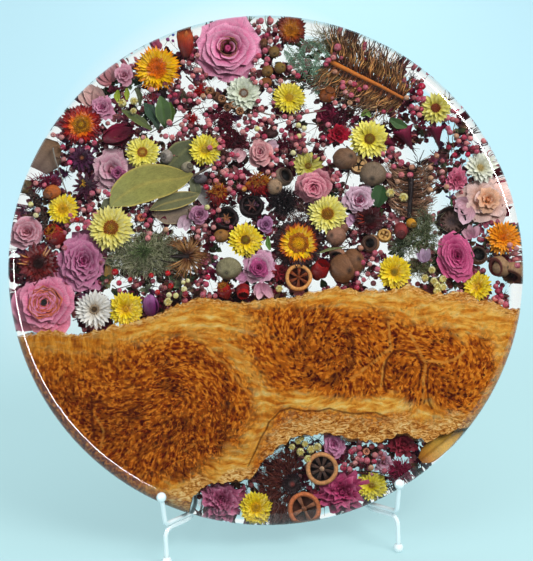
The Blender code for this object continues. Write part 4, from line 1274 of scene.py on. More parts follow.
# --- paper daisies and strawflowers
daisy(142.5, 152.5, 18, 8)
daisy(205, 150, 17.5, 9, BRIGHT[:1] + [(0.35, (226, 200, 30)), (0.75, (244, 226, 50)), (1, (250, 240, 110))], [(0, (180, 150, 40)), (1, (206, 178, 60))], rc=0.22)
daisy(63, 209, 16.5, 8, BRIGHT, YELLOW_RING, rc=0.30, counts=(20, 18, 18))
daisy(111, 228, 24, 7, [(0, (176, 140, 34)), (0.3, (226, 204, 70)), (0.7, (244, 232, 110)), (1, (250, 244, 160))],
      [(0, (176, 150, 46)), (0.45, (168, 112, 30)), (0.7, (146, 78, 16)), (1, (170, 104, 26))], rc=0.33, counts=(24, 22, 16))
daisy(245.5, 240, 18, 7, BRIGHT, OLIVE_RING, rc=0.28, counts=(18, 16, 12), wide=0.26)
daisy(289, 98, 17.5, 7, [(0, (190, 140, 14)), (0.35, (226, 200, 30)), (0.8, (240, 222, 60)), (1, (248, 236, 120))], [(0, (186, 150, 30)), (1, (206, 166, 40))], rc=0.22)
daisy(369.5, 139.3, 21.5, 7, LEMON, OLIVE_RING, rc=0.28, counts=(20, 20, 14), wide=0.22)
daisy(436, 108, 17, 9, [(0, (170, 110, 30)), (0.35, (214, 196, 70)), (0.75, (238, 232, 110)), (1, (248, 244, 160))],
      [(0, (150, 70, 40)), (1, (126, 60, 24))], rc=0.30, counts=(16, 14, 8), wide=0.24, tilt=18, toward=200)
daisy(308, 166, 16, 14, OLIVE, OLIVE_RING, rc=0.20, counts=(14, 12, 8), wide=0.30)
daisy(327.5, 214, 20.5, 7, [(0, (180, 140, 30)), (0.3, (224, 206, 66)), (0.7, (244, 234, 106)), (1, (250, 246, 160))],
      [(0, (176, 130, 26)), (0.5, (150, 100, 20)), (0.8, (168, 110, 26)), (1, (196, 150, 44))], rc=0.33, counts=(24, 22, 14))
daisy(394.3, 272, 18, 7, BRIGHT, [(0, (130, 120, 40)), (0.5, (150, 120, 30)), (1, (214, 170, 20))], rc=0.24, counts=(20, 18, 16), wide=0.24)
daisy(478, 287, 16, 8, BRIGHT, YELLOW_RING, rc=0.14, counts=(16, 16, 14), wide=0.26, tilt=32, toward=160)
daisy(126, 309, 18, 7, BRIGHT, YELLOW_RING, rc=0.14, counts=(20, 20, 18), wide=0.24)
daisy(256, 507.5, 16.5, 7, BRIGHT, YELLOW_RING, rc=0.30, counts=(20, 20, 20), wide=0.26)
daisy(371.5, 486, 16.5, 12, [(0, (150, 120, 14)), (0.4, (206, 190, 30)), (0.8, (226, 214, 60)), (1, (236, 230, 110))], OLIVE_RING, rc=0.14,
      counts=(18, 16, 12), wide=0.22, tilt=28, toward=100)
daisy(94.6, 309.5, 20, 8, [(0, (150, 120, 84)), (0.3, (214, 204, 186)), (0.7, (240, 238, 230)), (1, (252, 252, 250))],
      [(0, (96, 70, 40)), (0.5, (70, 50, 30)), (0.8, (210, 190, 160)), (1, (150, 110, 70))], rc=0.24, counts=(18, 18, 14), wide=0.20, name="white_strawflower")
daisy(243.7, 93.5, 19.5, 10, [(0, (176, 160, 120)), (0.3, (206, 214, 186)), (0.7, (226, 236, 212)), (1, (244, 250, 236))],
      [(0, (150, 146, 140)), (0.45, (168, 160, 150)), (0.6, (120, 84, 60)), (0.9, (140, 96, 66)), (1, (190, 170, 140))], rc=0.28, counts=(12, 12, 8), wide=0.42,
      name="white_paper_daisy", dome_h=0.2)
daisy(480, 168, 17, 12, [(0, (176, 160, 110)), (0.3, (206, 206, 176)), (0.7, (228, 232, 212)), (1, (240, 244, 236))],
      [(0, (176, 150, 90)), (1, (196, 176, 120))], rc=0.22, counts=(12, 10, 8), wide=0.34, name="white_paper_daisy", tilt=15, toward=30)

# golden strawflower, orange in the middle
it = item(157.3, 69, 8)
R = 24.5 * MM_PX
GOLD_PETAL = [(0, (206, 96, 6)), (0.3, (240, 160, 6)), (0.7, (252, 204, 4)), (1, (250, 190, 8))]
rows_flower(it, R, [(30, 1.0, 0.15, 0.02, 0.05, [(0, (206, 96, 6)), (0.5, (244, 170, 4)), (1, (236, 140, 6))]), (28, 0.92, 0.14, 0.22, -0.02, GOLD_PETAL),
                    (24, 0.76, 0.13, 0.45, -0.2, GOLD_PETAL), (20, 0.56, 0.11, 0.75, -0.3, [(0, (196, 84, 4)), (1, (232, 130, 6))])],
            [(0, (150, 70, 6)), (0.5, (206, 96, 6)), (1, (224, 120, 8))], rc=0.34, n=110)
it.finish(called("golden_strawflower"), PAPER)

# red strawflower with orange heart
it = item(81.5, 125, 8)
R = 21.5 * MM_PX
rows_flower(it, R, [(26, 1.04, 0.19, 0.0, 0.05, [(0, (170, 40, 20)), (0.5, (140, 14, 22)), (1, (104, 8, 24))]),
                    (26, 0.92, 0.16, 0.2, 0.0, [(0, (232, 120, 16)), (0.5, (206, 50, 20)), (1, (150, 16, 22))]),
                    (26, 0.70, 0.13, 0.4, -0.1, [(0, (240, 160, 20)), (0.6, (244, 132, 16)), (1, (224, 84, 18))])],
            [(0, (214, 176, 30)), (0.3, (150, 96, 14)), (0.45, (110, 66, 10)), (0.6, (186, 130, 14)), (0.85, (160, 96, 10)), (1, (206, 120, 14))], rc=0.46, n=120, dome_h=0.25)
it.finish(called("red_strawflower"), PAPER)

# gold strawflower with a black rim
it = item(298.5, 243.7, 8)
R = 26.5 * MM_PX
BLACK_EDGE = [(0, (90, 20, 6)), (0.4, (60, 10, 10)), (1, (26, 6, 12))]
rows_flower(it, R, [(40, 1.0, 0.19, -0.05, 0.05, BLACK_EDGE), (40, 0.94, 0.18, 0.08, 0.0, BLACK_EDGE),
                    (38, 0.83, 0.14, 0.20, -0.05, [(0, (220, 140, 6)), (0.65, (206, 80, 8)), (1, (90, 16, 8))]),
                    (36, 0.76, 0.12, 0.30, -0.10, [(0, (226, 150, 6)), (0.7, (252, 190, 8)), (1, (226, 110, 8))]),
                    (34, 0.67, 0.11, 0.42, -0.15, [(0, (226, 150, 6)), (0.6, (255, 214, 10)), (1, (252, 196, 12))]),
                    (30, 0.56, 0.10, 0.5, -0.3, [(0, (206, 120, 6)), (0.6, (252, 200, 10)), (1, (255, 220, 24))])],
            [(0, (224, 180, 14)), (0.45, (212, 152, 10)), (0.62, (150, 84, 6)), (0.8, (176, 104, 8)), (1, (196, 120, 8))], rc=0.42, n=150, dome_h=0.25)
it.finish(called("gold_black_strawflower"), PAPER)

# dark red and gold one at the top rim
it = item(291, 30, 12)
R = 17 * MM_PX
rows_flower(it, R, [(22, 1.0, 0.2, 0.0, 0.05, [(0, (150, 80, 14)), (0.5, (110, 34, 16)), (1, (70, 12, 18))]),
                    (20, 0.85, 0.18, 0.25, -0.05, [(0, (190, 120, 20)), (0.6, (150, 70, 16)), (1, (96, 20, 18))]),
                    (16, 0.6, 0.16, 0.5, -0.2, [(0, (206, 140, 24)), (1, (150, 76, 16))])],
            [(0, (120, 60, 14)), (1, (190, 120, 24))], rc=0.35)
it.finish(called("red_strawflower"), PAPER)

# burgundy one with gold quills at the left
it = item(38.7, 264, 9)
R = 22 * MM_PX
rows_flower(it, R, [(18, 1.0, 0.24, 0.05, 0.1, [(0, (80, 20, 16)), (0.5, (116, 24, 30)), (1, (90, 12, 30))]),
                    (16, 0.84, 0.24, 0.3, 0.0, [(0, (60, 10, 10)), (0.6, (124, 34, 30)), (1, (96, 16, 30))]),
                    (12, 0.56, 0.22, 0.7, -0.1, [(0, (30, 6, 6)), (1, (96, 24, 26))])], [(0, (20, 6, 8)), (1, (50, 14, 12))], rc=0.28, wave=0.25)
it.petals(np.radians((165, 178, 150, 60, 48)), R * 0.35, R * 0.6, R * 0.12, 0.45, -0.1, 0.3, R * 0.1, [(0, (206, 110, 50)), (1, (236, 170, 90))])
it.finish(called("burgundy_strawflower"), PAPER)

it = item(369, 219.7, 9)
R = 16.5 * MM_PX
rows_flower(it, R, [(16, 1.0, 0.26, 0.05, 0.1, [(0, (40, 6, 8)), (0.5, (74, 10, 20)), (1, (56, 6, 18))]),
                    (14, 0.8, 0.26, 0.35, 0.0, [(0, (30, 4, 6)), (0.7, (66, 10, 18)), (1, (50, 6, 16))]),
                    (10, 0.5, 0.22, 0.7, -0.1, [(0, (20, 4, 6)), (1, (50, 10, 12))])], [(0, (24, 6, 8)), (1, (40, 10, 12))], rc=0.3, wave=0.2)
it.petals(np.radians((150, 175, 200)), R * 0.25, R * 0.6, R * 0.10, 0.5, -0.1, 0.3, R * 0.1, [(0, (120, 20, 14)), (1, (170, 60, 30))])
it.finish(called("burgundy_strawflower"), PAPER)

# purple star flower
it = item(82, 158, 9)
R = 15 * MM_PX
rows_flower(it, R, [(10, 1.05, 0.34, 0.0, 0.1, [(0, (60, 30, 44)), (1, (74, 26, 62))]), (10, 0.85, 0.32, 0.3, 0.0, [(0, (50, 20, 34)), (1, (84, 34, 74))]),
                    (8, 0.5, 0.3, 0.7, 0.0, [(0, (40, 14, 26)), (1, (70, 26, 56))])], [(0, (196, 120, 70)), (1, (60, 24, 40))], rc=0.18, wave=0.2, tip=0.5, fat=1.2)
it.finish(called("purple_star_flower"), PETAL)
it = item(86, 186, 10)
R = 14 * MM_PX
rows_flower(it, R, [(9, 1.1, 0.34, 0.0, 0.15, [(0, (50, 16, 30)), (1, (76, 20, 52))]), (8, 0.8, 0.34, 0.35, 0.0, [(0, (30, 10, 22)), (1, (60, 16, 42))])],
            [(0, (60, 30, 30)), (1, (60, 24, 40))], rc=0.16, wave=0.25, tip=0.5, fat=1.2)
it.hairs(np.tile([(-R * 0.3, R * 0.15, R * 0.1)], (9, 1)), it.rng.normal(size=(9, 3)) * (1, 1, 0.4) + (0, 0, 0.5), R * 0.35, 0.0005, (0, 0, 0),
         [(0, (206, 140, 20)), (1, (240, 200, 60))])
it.finish(called("purple_star_flower"), PETAL)

# orange calendula at the right rim
it = item(503, 238, 9)
R = 18.5 * MM_PX
ORANGE = [(0, (200, 80, 4)), (0.4, (240, 130, 8)), (0.8, (252, 158, 14)), (1, (250, 180, 60))]
rows_flower(it, R, [(22, 1.0, 0.17, 0.0, 0.1, ORANGE), (20, 0.85, 0.16, 0.3, 0.0, ORANGE), (16, 0.62, 0.15, 0.6, -0.1, ORANGE), (12, 0.4, 0.12, 0.9, -0.2, ORANGE)],
            [(0, (190, 90, 10)), (1, (230, 130, 10))], rc=0.2, wave=0.2)
it.finish(called("orange_calendula"), PAPER)

# --- roses and ranunculus
# rose colours run from petal base (0) to rim (1): the dark base end is partly the petals' own deeper colour and partly
# painted shade where the petals overlap
PINK = [(0, (150, 40, 80)), (0.4, (206, 92, 134)), (0.75, (226, 134, 172)), (1, (240, 176, 204))]
ROSE_PINK = [(0, (120, 30, 50)), (0.4, (184, 76, 98)), (0.75, (214, 120, 138)), (1, (232, 164, 172))]
MAUVE = [(0, (104, 30, 70)), (0.4, (160, 70, 112)), (0.75, (192, 108, 146)), (1, (212, 150, 180))]
MAGENTA = [(0, (80, 10, 44)), (0.4, (152, 26, 88)), (0.75, (190, 52, 116)), (1, (216, 104, 150))]
PALE_PINK = [(0, (170, 100, 110)), (0.4, (206, 150, 152)), (0.8, (224, 184, 180)), (1, (238, 210, 204))]
LAVENDER = [(0, (120, 60, 80)), (0.4, (176, 120, 142)), (0.8, (206, 164, 186)), (1, (226, 196, 214))]
BROWN_CUP = [(0, (20, 8, 8)), (0.5, (110, 60, 40)), (0.85, (170, 110, 84)), (1, (214, 140, 130))]
DARK_RED = [(0, (30, 4, 8)), (0.5, (96, 10, 22)), (1, (140, 24, 36))]


def brown_cup(it, R):
    k = np.arange(12)
    f = (k + 0.5) / 12
    it.cups(k * 2.39996, 0.9, R * (0.10 + 0.16 * f), R * (0.16 + 0.22 * f), -R * 0.05, R * (0.30 + 0.20 * f), -R * 0.02, BROWN_CUP, frill=0.06)
    it.spin_of([(R * 0.30, -R * 0.02), (R * 0.15, R * 0.02), (R * 0.01, R * 0.03)], [(30, 12, 10), (12, 4, 4), (8, 2, 2)], 12)
    it.hairs(np.stack([R * 0.10 * np.cos(np.arange(16)), R * 0.10 * np.sin(np.arange(16)), 0 * np.arange(16.)], -1), it.rng.normal(size=(16, 3)) * (0.35, 0.35, 0) + (0, 0, 1),
             R * 0.28, 0.0005, (0, 0, 0), [(0, (20, 10, 10)), (1, (96, 60, 40))])


roses(228, 49.5, 33, 12, [(0, (150, 30, 84)), (0.35, (206, 80, 134)), (0.75, (226, 120, 166)), (1, (238, 168, 200))], n=26, height=0.42, name="ranunculus",
      frill=0.05, extra=brown_cup, tight=0.55, curl=0.14)
roses(45.5, 303, 31, 10, [(0, (150, 30, 70)), (0.4, (210, 74, 110)), (0.75, (226, 110, 150)), (1, (242, 160, 190))], n=34, height=0.45, name="ranunculus", frill=0.06, curl=0.12,
      extra=lambda it, R: (it.cups(np.arange(22) * 2.39996, 0.95, R * 0.06 + R * 0.016 * np.arange(22), R * 0.12 + R * 0.021 * np.arange(22), 0.0,
                                   R * (0.62 - 0.012 * np.arange(22)), 0.0, [(0, (60, 14, 14)), (0.6, (180, 66, 50)), (1, (232, 128, 96))], frill=0.08),
                           it.spin_of([(R * 0.2, R * 0.30), (R * 0.1, R * 0.33), (R * 0.01, R * 0.34)], [(40, 14, 14), (12, 4, 6), (6, 2, 4)], 12)))
roses(82.5, 262, 28, 13, [(0, (130, 30, 84)), (0.4, (166, 66, 116)), (0.75, (190, 98, 146)), (1, (206, 140, 172))], n=34, height=0.5, name="rose", frill=0.10, squash=(0.92, 1.12), tilt=12, toward=0)
roses(27.5, 232.5, 17, 11, [(0, (150, 70, 80)), (0.4, (204, 120, 136)), (0.8, (222, 150, 168)), (1, (236, 190, 204))], n=22, name="rose", frill=0.05)
roses(112, 170, 20, 13, PALE_PINK[:1] + [(0.4, (196, 130, 152)), (0.8, (216, 164, 182)), (1, (232, 196, 206))], n=14, height=0.35, name="rose", frill=0.10, squash=(1.0, 1.1), tight=0.6, curl=0.2)
roses(117.5, 173, 8, 7, [(0, (60, 10, 40)), (0.5, (140, 50, 96)), (1, (190, 110, 150))], n=14, height=0.6, name="rose_heart", frill=0.08)
roses(102, 108, 14, 11, [(0, (140, 40, 90)), (0.5, (186, 96, 140)), (1, (220, 160, 186))], n=20, name="rose", frill=0.10)
roses(260, 153, 14, 8, [(0, (140, 40, 80)), (0.4, (196, 104, 124)), (0.8, (220, 150, 156)), (1, (234, 184, 184))], n=22, height=0.7, name="rosebud", squash=(0.92, 1.12), frill=0.03)
roses(314, 186.5, 19.5, 7, [(0, (120, 20, 50)), (0.4, (186, 70, 100)), (0.75, (214, 116, 138)), (1, (236, 168, 178))], n=26, height=0.6, name="rose", frill=0.06, tilt=25, toward=255)
roses(359.5, 199.5, 15, 9, LAVENDER, n=18, height=0.4, name="rose", frill=0.09, tight=0.7, curl=0.18)
roses(359.5, 201.5, 8, 6.5, [(0, (40, 10, 24)), (0.5, (130, 50, 84)), (1, (186, 110, 140))], n=14, height=0.5, name="rose_heart")
roses(456.5, 257, 19, 9, MAGENTA, n=34, height=0.45, name="rose", squash=(0.96, 1.42, 12), frill=0.05, core=(16, 6, 12))
roses(259, 266, 17, 11, [(0, (140, 50, 96)), (0.4, (186, 104, 146)), (0.8, (212, 150, 182)), (1, (228, 184, 206))], n=14, height=0.3, name="rose", frill=0.09, tight=0.6, curl=0.18)
roses(258.5, 268.5, 10, 7, [(0, (70, 8, 44)), (0.5, (150, 34, 100)), (1, (196, 90, 144))], n=20, height=0.6, name="rose_heart", core=(20, 8, 16))
roses(199.5, 214.5, 10.5, 8, [(0, (70, 20, 50)), (0.5, (140, 66, 110)), (1, (196, 140, 170))], n=18, height=0.5, name="rose", frill=0.05)
roses(221.5, 500, 22, 11, [(0, (130, 40, 84)), (0.4, (170, 74, 116)), (0.75, (200, 108, 146)), (1, (222, 156, 184))], n=36, height=0.45, name="carnation", frill=0.16, jag=0.35, nv=11)
roses(342, 492, 25, 11, [(0, (90, 10, 44)), (0.35, (160, 40, 92)), (0.75, (190, 70, 118)), (1, (216, 110, 150))], n=26, height=0.35, name="carnation", frill=0.22, jag=0.25, nv=11,
      squash=(1.08, 0.86), tight=0.7)
roses(457, 180, 14, 10, [(0, (130, 30, 70)), (0.4, (190, 72, 110)), (0.75, (212, 106, 138)), (1, (230, 150, 170))], n=26, height=0.4, name="carnation", frill=0.18, jag=0.35, nv=11)
roses(334, 444, 12.5, 9, [(0, (120, 30, 80)), (0.5, (176, 90, 136)), (1, (216, 150, 186))], n=16, height=0.5, name="rose", frill=0.08, squash=(0.95, 1.15))
roses(404, 444, 16, 12, [(0, (60, 8, 16)), (0.5, (124, 20, 40)), (1, (160, 50, 70))], n=18, height=0.35, name="dried_rose", frill=0.2, jag=0.3, nv=9)
roses(265.5, 225.3, 9.5, 10, [(0, (90, 30, 70)), (0.5, (150, 86, 134)), (1, (190, 134, 176))], n=12, height=0.7, name="purple_bud", frill=0.05)
roses(485, 201, 26, 15, [(0, (190, 120, 90)), (0.3, (224, 164, 136)), (0.7, (234, 190, 176)), (1, (240, 210, 206))], n=12, height=0.25, name="peach_blossom", frill=0.10, tight=0.6, curl=0.2,
      squash=(1.1, 0.95))
roses(488, 200, 14, 9, [(0, (200, 120, 60)), (0.4, (226, 160, 120)), (1, (238, 190, 160))], n=9, height=0.3, name="peach_blossom", frill=0.15, tight=0.7)
roses(124, 76, 11, 8, [(0, (150, 70, 90)), (0.5, (206, 130, 154)), (1, (232, 176, 196))], n=12, height=0.6, name="rosebud", squash=(1.0, 1.1))
roses(403, 137, 10, 13, DARK_RED, n=10, height=0.3, name="dried_rose", frill=0.2)
roses(282, 272, 12, 13, [(0, (40, 4, 10)), (0.5, (104, 14, 28)), (1, (150, 30, 50))], n=14, height=0.4, name="dried_rose", frill=0.2, jag=0.2)
roses(338, 134, 13, 11, [(0, (60, 0, 14)), (0.5, (140, 6, 34)), (1, (190, 14, 50))], n=14, height=0.4, name="dried_rose", frill=0.2, jag=0.2)
roses(326, 114, 13, 15, [(0, (40, 4, 20)), (0.5, (100, 12, 44)), (1, (130, 24, 60))], n=12, height=0.3, name="dried_rose", frill=0.25, jag=0.2)
roses(384, 462, 11, 15, LAVENDER, n=8, height=0.25, name="loose_rose", frill=0.25, tight=0.6)
big_petals(112, 82, 13, [(150, 20, 20, 0.1, 0.2), (120, 24, 20, 0.15, 0.1), (85, 20, 16, 0.2, 0.1), (180, 14, 14, 0.1, 0)],
           [(0, (150, 84, 90)), (0.5, (198, 136, 144)), (1, (216, 168, 172))])
big_petals(100, 106, 14, [(120, 26, 24, 0.15, 0.15), (150, 24, 22, 0.1, 0.2), (95, 20, 18, 0.2, 0.1)], [(0, (176, 110, 120)), (0.5, (206, 160, 156)), (1, (222, 186, 176))])
big_petals(243, 150, 12, [(220, 15, 15, 0.1, 0.1), (250, 15, 13, 0.2, 0.1)], [(0, (190, 140, 150)), (1, (226, 190, 196))])
big_petals(268, 150, 12, [(50, 13, 13, 0.1, 0.1), (20, 12, 11, 0.2, 0.1)], [(0, (190, 140, 160)), (1, (224, 196, 212))])
big_petals(262, 283, 9, [(255, 17, 13, 0.2, -0.2), (300, 20, 12, 0.15, -0.1), (235, 14, 12, 0.1, 0)], [(0, (160, 90, 116)), (0.5, (206, 146, 170)), (1, (228, 190, 200))])
big_petals(245, 275, 12, [(200, 10, 12, 0.1, 0.1), (240, 10, 10, 0.1, 0.1)], [(0, (180, 110, 150)), (1, (216, 160, 190))])
big_petals(425, 262, 10, [(100, 14, 12, 0.2, 0.1), (70, 14, 10, 0.2, 0.1), (130, 12, 9, 0.1, 0.1)], [(0, (150, 120, 150)), (1, (206, 176, 206))])
big_petals(472, 238, 13, [(100, 14, 12, 0.2, 0.1), (60, 14, 12, 0.2, 0.1), (140, 14, 12, 0.2, 0.1)], [(0, (170, 100, 130)), (1, (222, 176, 190))])
big_petals(468, 205, 12, [(200, 16, 22, 0.1, 0.2), (250, 22, 24, 0.1, 0.2), (160, 14, 18, 0.15, 0.1)], [(0, (190, 140, 150)), (0.5, (206, 160, 176)), (1, (222, 190, 204))])
big_petals(352, 214, 13, [(250, 14, 12, 0.1, 0.1), (290, 10, 10, 0.1, 0.1)], [(0, (150, 96, 130)), (1, (206, 170, 200))])
big_petals(188, 216, 13, [(230, 16, 14, 0.1, 0.1), (260, 16, 12, 0.1, 0.1)], [(0, (170, 130, 150)), (1, (214, 190, 206))])

# --- buds, hips and caps
side_bud(104, 140, 12.5, 34, 9, 15, [(0, (130, 20, 50)), (0.5, (112, 12, 44)), (1, (60, 6, 26))], name="burgundy_bud", n=7, calyx=(96, 60, 40))
side_bud(152, 317, 9, 24, 9, 95, [(0, (70, 14, 60)), (0.6, (110, 36, 96)), (1, (176, 110, 170))], name="purple_bud", n=9, calyx=(90, 40, 60))
side_bud(250, 190, 7, 10, 12, 80, [(0, (150, 20, 20)), (1, (196, 120, 30))], name="red_cap", calyx=None)
for x, y, r, dirn in ((218, 195, 10.5, 80), (258.5, 185, 11, 75)):
    it = item(x, y, 9, tilt=45, toward=dirn)
    fluff(it, (0, 0, -0.001), (r * MM_PX * 0.8,) * 3, 260, r * MM_PX * 0.45, 0.00055, [(0, (80, 6, 8)), (0.6, (150, 14, 16)), (1, (186, 24, 22))], flat=0.9)
    fluff(it, (0, 0, r * MM_PX * 0.6), (r * MM_PX * 0.7, r * MM_PX * 0.7, r * MM_PX * 0.3), 150, r * MM_PX * 0.4, 0.00055, [(0, (150, 70, 10)), (1, (206, 140, 40))], flat=0.9)
    it.spin_of([(r * MM_PX * 0.3, -r * MM_PX), (r * MM_PX * 0.8, -r * MM_PX * 0.4), (r * MM_PX * 0.75, r * MM_PX * 0.3), (r * MM_PX * 0.05, r * MM_PX * 0.5)],
               [(60, 4, 6), (110, 8, 10), (130, 12, 12), (150, 60, 10)], 14)
    it.finish(called("red_flower_cap"), HAIR)
for x, y, r, dirn, gold in ((224.5, 291, 9.5, 110, True), (243, 290.5, 9.5, 270, False), (320, 270, 12, 60, False), (56, 236, 13.5, 130, True)):
    it = item(x, y, 9, tilt=50, toward=dirn)
    q = r * MM_PX
    it.cups(np.arange(9) * 2.39996, 1.15, q * 0.35, q * 0.9, -q * 0.9, q * 0.55, -q * 0.35, [(0, (90, 8, 12)), (0.6, (150, 16, 22)), (1, (176, 34, 30))], frill=0.04)
    it.spin_of([(q * 0.1, -q * 0.9), (q * 0.75, -q * 0.3), (q * 0.7, q * 0.3), (q * 0.05, q * 0.45)], [(90, 8, 12), (120, 12, 16), (110, 10, 14), (50, 6, 8)], 14)
    if gold:
        fluff(it, (0, 0, q * 0.55), (q * 0.45, q * 0.45, q * 0.2), 90, q * 0.35, 0.0005, [(0, (160, 80, 10)), (1, (216, 150, 40))], flat=0.7)
    it.finish(called("red_hip"), PETAL)
# goblet flowers, deep burgundy
for x, y, r, L, dirn in ((412, 149, 12.5, 25, 112), (438.5, 146, 11, 22, 96), (396, 146, 8, 14, 150)):
    it = item(x, y, 10, tilt=82, toward=dirn)
    q, h = r * MM_PX, L * MM_PX
    it.cups(np.arange(8) * TAU / 8 + 0.3, 0.62, q * 0.12, q * 1.0, 0.0, h, q * 0.15, [(0, (50, 4, 20)), (0.4, (92, 10, 40)), (0.8, (124, 20, 58)), (1, (150, 40, 80))], frill=0.08, jag=0.15)
    it.cups(np.arange(6) * TAU / 6, 0.62, q * 0.10, q * 0.7, 0.0, h * 0.9, 0.0, [(0, (40, 4, 14)), (1, (110, 20, 40))], frill=0.1)
    it.hairs([(0, 0, 0)], [(0.05, 0, -1)], h * 0.4, 0.0009, (0.1, 0, 0), [(0, (50, 14, 24)), (1, (50, 34, 28))])
    it.finish(called("burgundy_goblet"), PETAL)
# crimson tufts
for x, y, rx, ry, depth, c in ((226, 121, 9, 13, 13, ((60, 4, 20), (112, 14, 44))), (235, 142, 14, 11, 15, ((50, 4, 18), (100, 12, 36))),
                               (45, 183, 18, 9, 11, ((90, 10, 40), (136, 24, 66))), (398.5, 471.5, 12, 11, 9, ((100, 10, 40), (160, 30, 78))),
                               (193, 118.5, 6, 5, 12, ((150, 6, 10), (206, 16, 20))), (199, 91, 6, 6, 12, ((150, 6, 10), (206, 16, 20))),
                               (120, 146, 9, 6, 16, ((70, 8, 30), (120, 20, 50))), (150, 97, 12, 4, 14, ((140, 30, 50), (190, 70, 90))),
                               (283, 146, 11, 9, 17, ((60, 4, 24), (110, 14, 50))), (150, 215, 9, 7, 18, ((50, 10, 34), (96, 30, 66))),
                               (335, 120, 17, 10, 17, ((50, 4, 22), (110, 14, 50)))):
    it = item(x, y, depth)
    fluff(it, (0, 0, 0), (rx * MM_PX * 0.75, ry * MM_PX * 0.75, min(rx, ry) * MM_PX * 0.7), int(10 * (rx + ry)), min(rx, ry) * MM_PX * 0.6, 0.0006, [(0, c[0]), (1, c[1])], flat=0.8, bend=0.5)
    it.balls([(0, 0, -0.001)], min(rx, ry) * MM_PX * 0.5, lin(c[0]))
    it.finish(called("crimson_tuft"), HAIR)

# --- nuts and pods
NUT_BROWN, NUT_DARK, NUT_GREY, TAN_RIM = (122, 84, 60), (74, 44, 30), (136, 118, 100), (206, 160, 104)
for x, y, r, h, depth, body, rim, hole, tilt, toward, mouth, valves in (
        (358.7, 164, 10, 12, 8, (120, 84, 58), (206, 164, 110), (16, 6, 6), 8, 90, 0.70, 5),
        (286.5, 175, 10, 13, 9, (140, 122, 104), (60, 44, 36), (8, 4, 4), 38, 20, 0.62, 0),
        (369.5, 243, 9.5, 11, 8, (150, 112, 80), (70, 44, 30), (8, 4, 4), 20, 180, 0.52, 0),
        (384.5, 234.5, 7.5, 9, 9, (186, 140, 70), (206, 160, 90), (150, 104, 44), 12, 90, 0.6, 4),
        (479, 254, 10, 12, 9, (130, 96, 66), (60, 40, 30), (8, 4, 4), 15, 60, 0.66, 0),
        (495, 267, 11, 14, 10, (150, 118, 86), (96, 40, 34), (40, 6, 12), 55, 190, 0.55, 0),
        (511, 277, 12, 16, 12, (146, 114, 84), (96, 60, 46), (40, 12, 16), 62, 240, 0.5, 0),
        (336.5, 257, 8.5, 10, 10, (150, 108, 84), (60, 36, 30), (8, 4, 4), 48, 250, 0.6, 0),
        (209.4, 90.4, 5, 8, 8, (96, 58, 38), (150, 104, 70), (14, 6, 6), 20, 140, 0.55, 4),
        (222, 98.4, 5, 8, 8, (92, 56, 36), (140, 96, 66), (14, 6, 6), 15, 60, 0.55, 4),
        (234, 104.5, 4.6, 8, 8, (92, 56, 36), (150, 104, 70), (14, 6, 6), 10, 40, 0.55, 4),
        (240, 111, 4.6, 8, 7, (92, 56, 36), (160, 110, 74), (14, 6, 6), 5, 300, 0.55, 4),
        (227, 107.5, 4.6, 8, 9, (92, 56, 36), (140, 96, 66), (14, 6, 6), 25, 230, 0.55, 4),
        (214, 95, 5, 8, 11, (84, 50, 32), (120, 80, 56), (14, 6, 6), 50, 160, 0.5, 4),
        (141, 217.5, 4.6, 7, 7, (150, 70, 60), (206, 110, 84), (90, 30, 20), 5, 0, 0.5, 4),
        (366.4, 451.5, 3.8, 6, 7, (176, 90, 76), (214, 140, 110), (60, 20, 14), 5, 0, 0.5, 4)):
    it = item(x, y, depth, tilt=tilt, toward=toward)
    nut_cup(it, r * MM_PX, h * MM_PX, body, rim, hole, mouth=mouth, valves=valves)
    it.finish(called("gum_nut"), NUT)
# dark open pods
it = item(452.5, 220.8, 9)
nut_cup(it, 16 * MM_PX, 13 * MM_PX, (50, 34, 30), (24, 12, 12), (70, 46, 38), steps=32, mouth=0.86, valves=0)
k = np.arange(14)
it.petals(TAU * k / 14, 0.001, 12 * MM_PX, 4.5 * MM_PX, 0.12, 0.4, 0.3, -0.0055, [(0, (50, 34, 40)), (0.6, (96, 70, 62)), (1, (46, 28, 26))], nu=5, nv=3)
it.finish(called("open_pod"), NUT)
for x, y, r, star in ((226.5, 217, 13, (150, 96, 60)), (252, 204.5, 13, (90, 50, 46))):
    it = item(x, y, 10, tilt=10, toward=60)
    nut_cup(it, r * MM_PX, 15 * MM_PX, (30, 12, 14), (28, 12, 14), (12, 4, 6), steps=26, mouth=0.7, valves=0, wobble=0.02)
    it.petals(TAU * np.arange(6) / 6, 0.0003, r * MM_PX * (0.42 if star[0] > 100 else 0.62), r * MM_PX * 0.20, 0.5, -0.2, 0.5, -0.004, [(0, star), (1, star)], nu=4, nv=3)
    it.hairs([(0, 0, -14 * MM_PX)], [(0.8, 0.6, -0.2)], 0.014, 0.0009, (0, 0, 0), [(0, (50, 30, 26)), (1, (60, 40, 30))])
    it.finish(called("dark_pod"), NUT)
# sawn nuts
for x, y, r, rim, inner, dark, n in ((298.7, 277.3, 13.5, (214, 150, 84), (120, 54, 20), (60, 16, 8), 6), (322, 468.8, 15.8, (196, 138, 88), (58, 38, 30), (20, 12, 14), 8),
                                     (304.3, 509, 16, (186, 106, 62), (130, 84, 60), (66, 36, 26), 4)):
    it = item(x, y, 4.5)
    nut_slice(it, r * MM_PX, 0.009, rim, inner, dark, n, core=(186, 150, 120) if n == 8 else None)
    it.finish(called("sawn_gum_nut"), NUT)
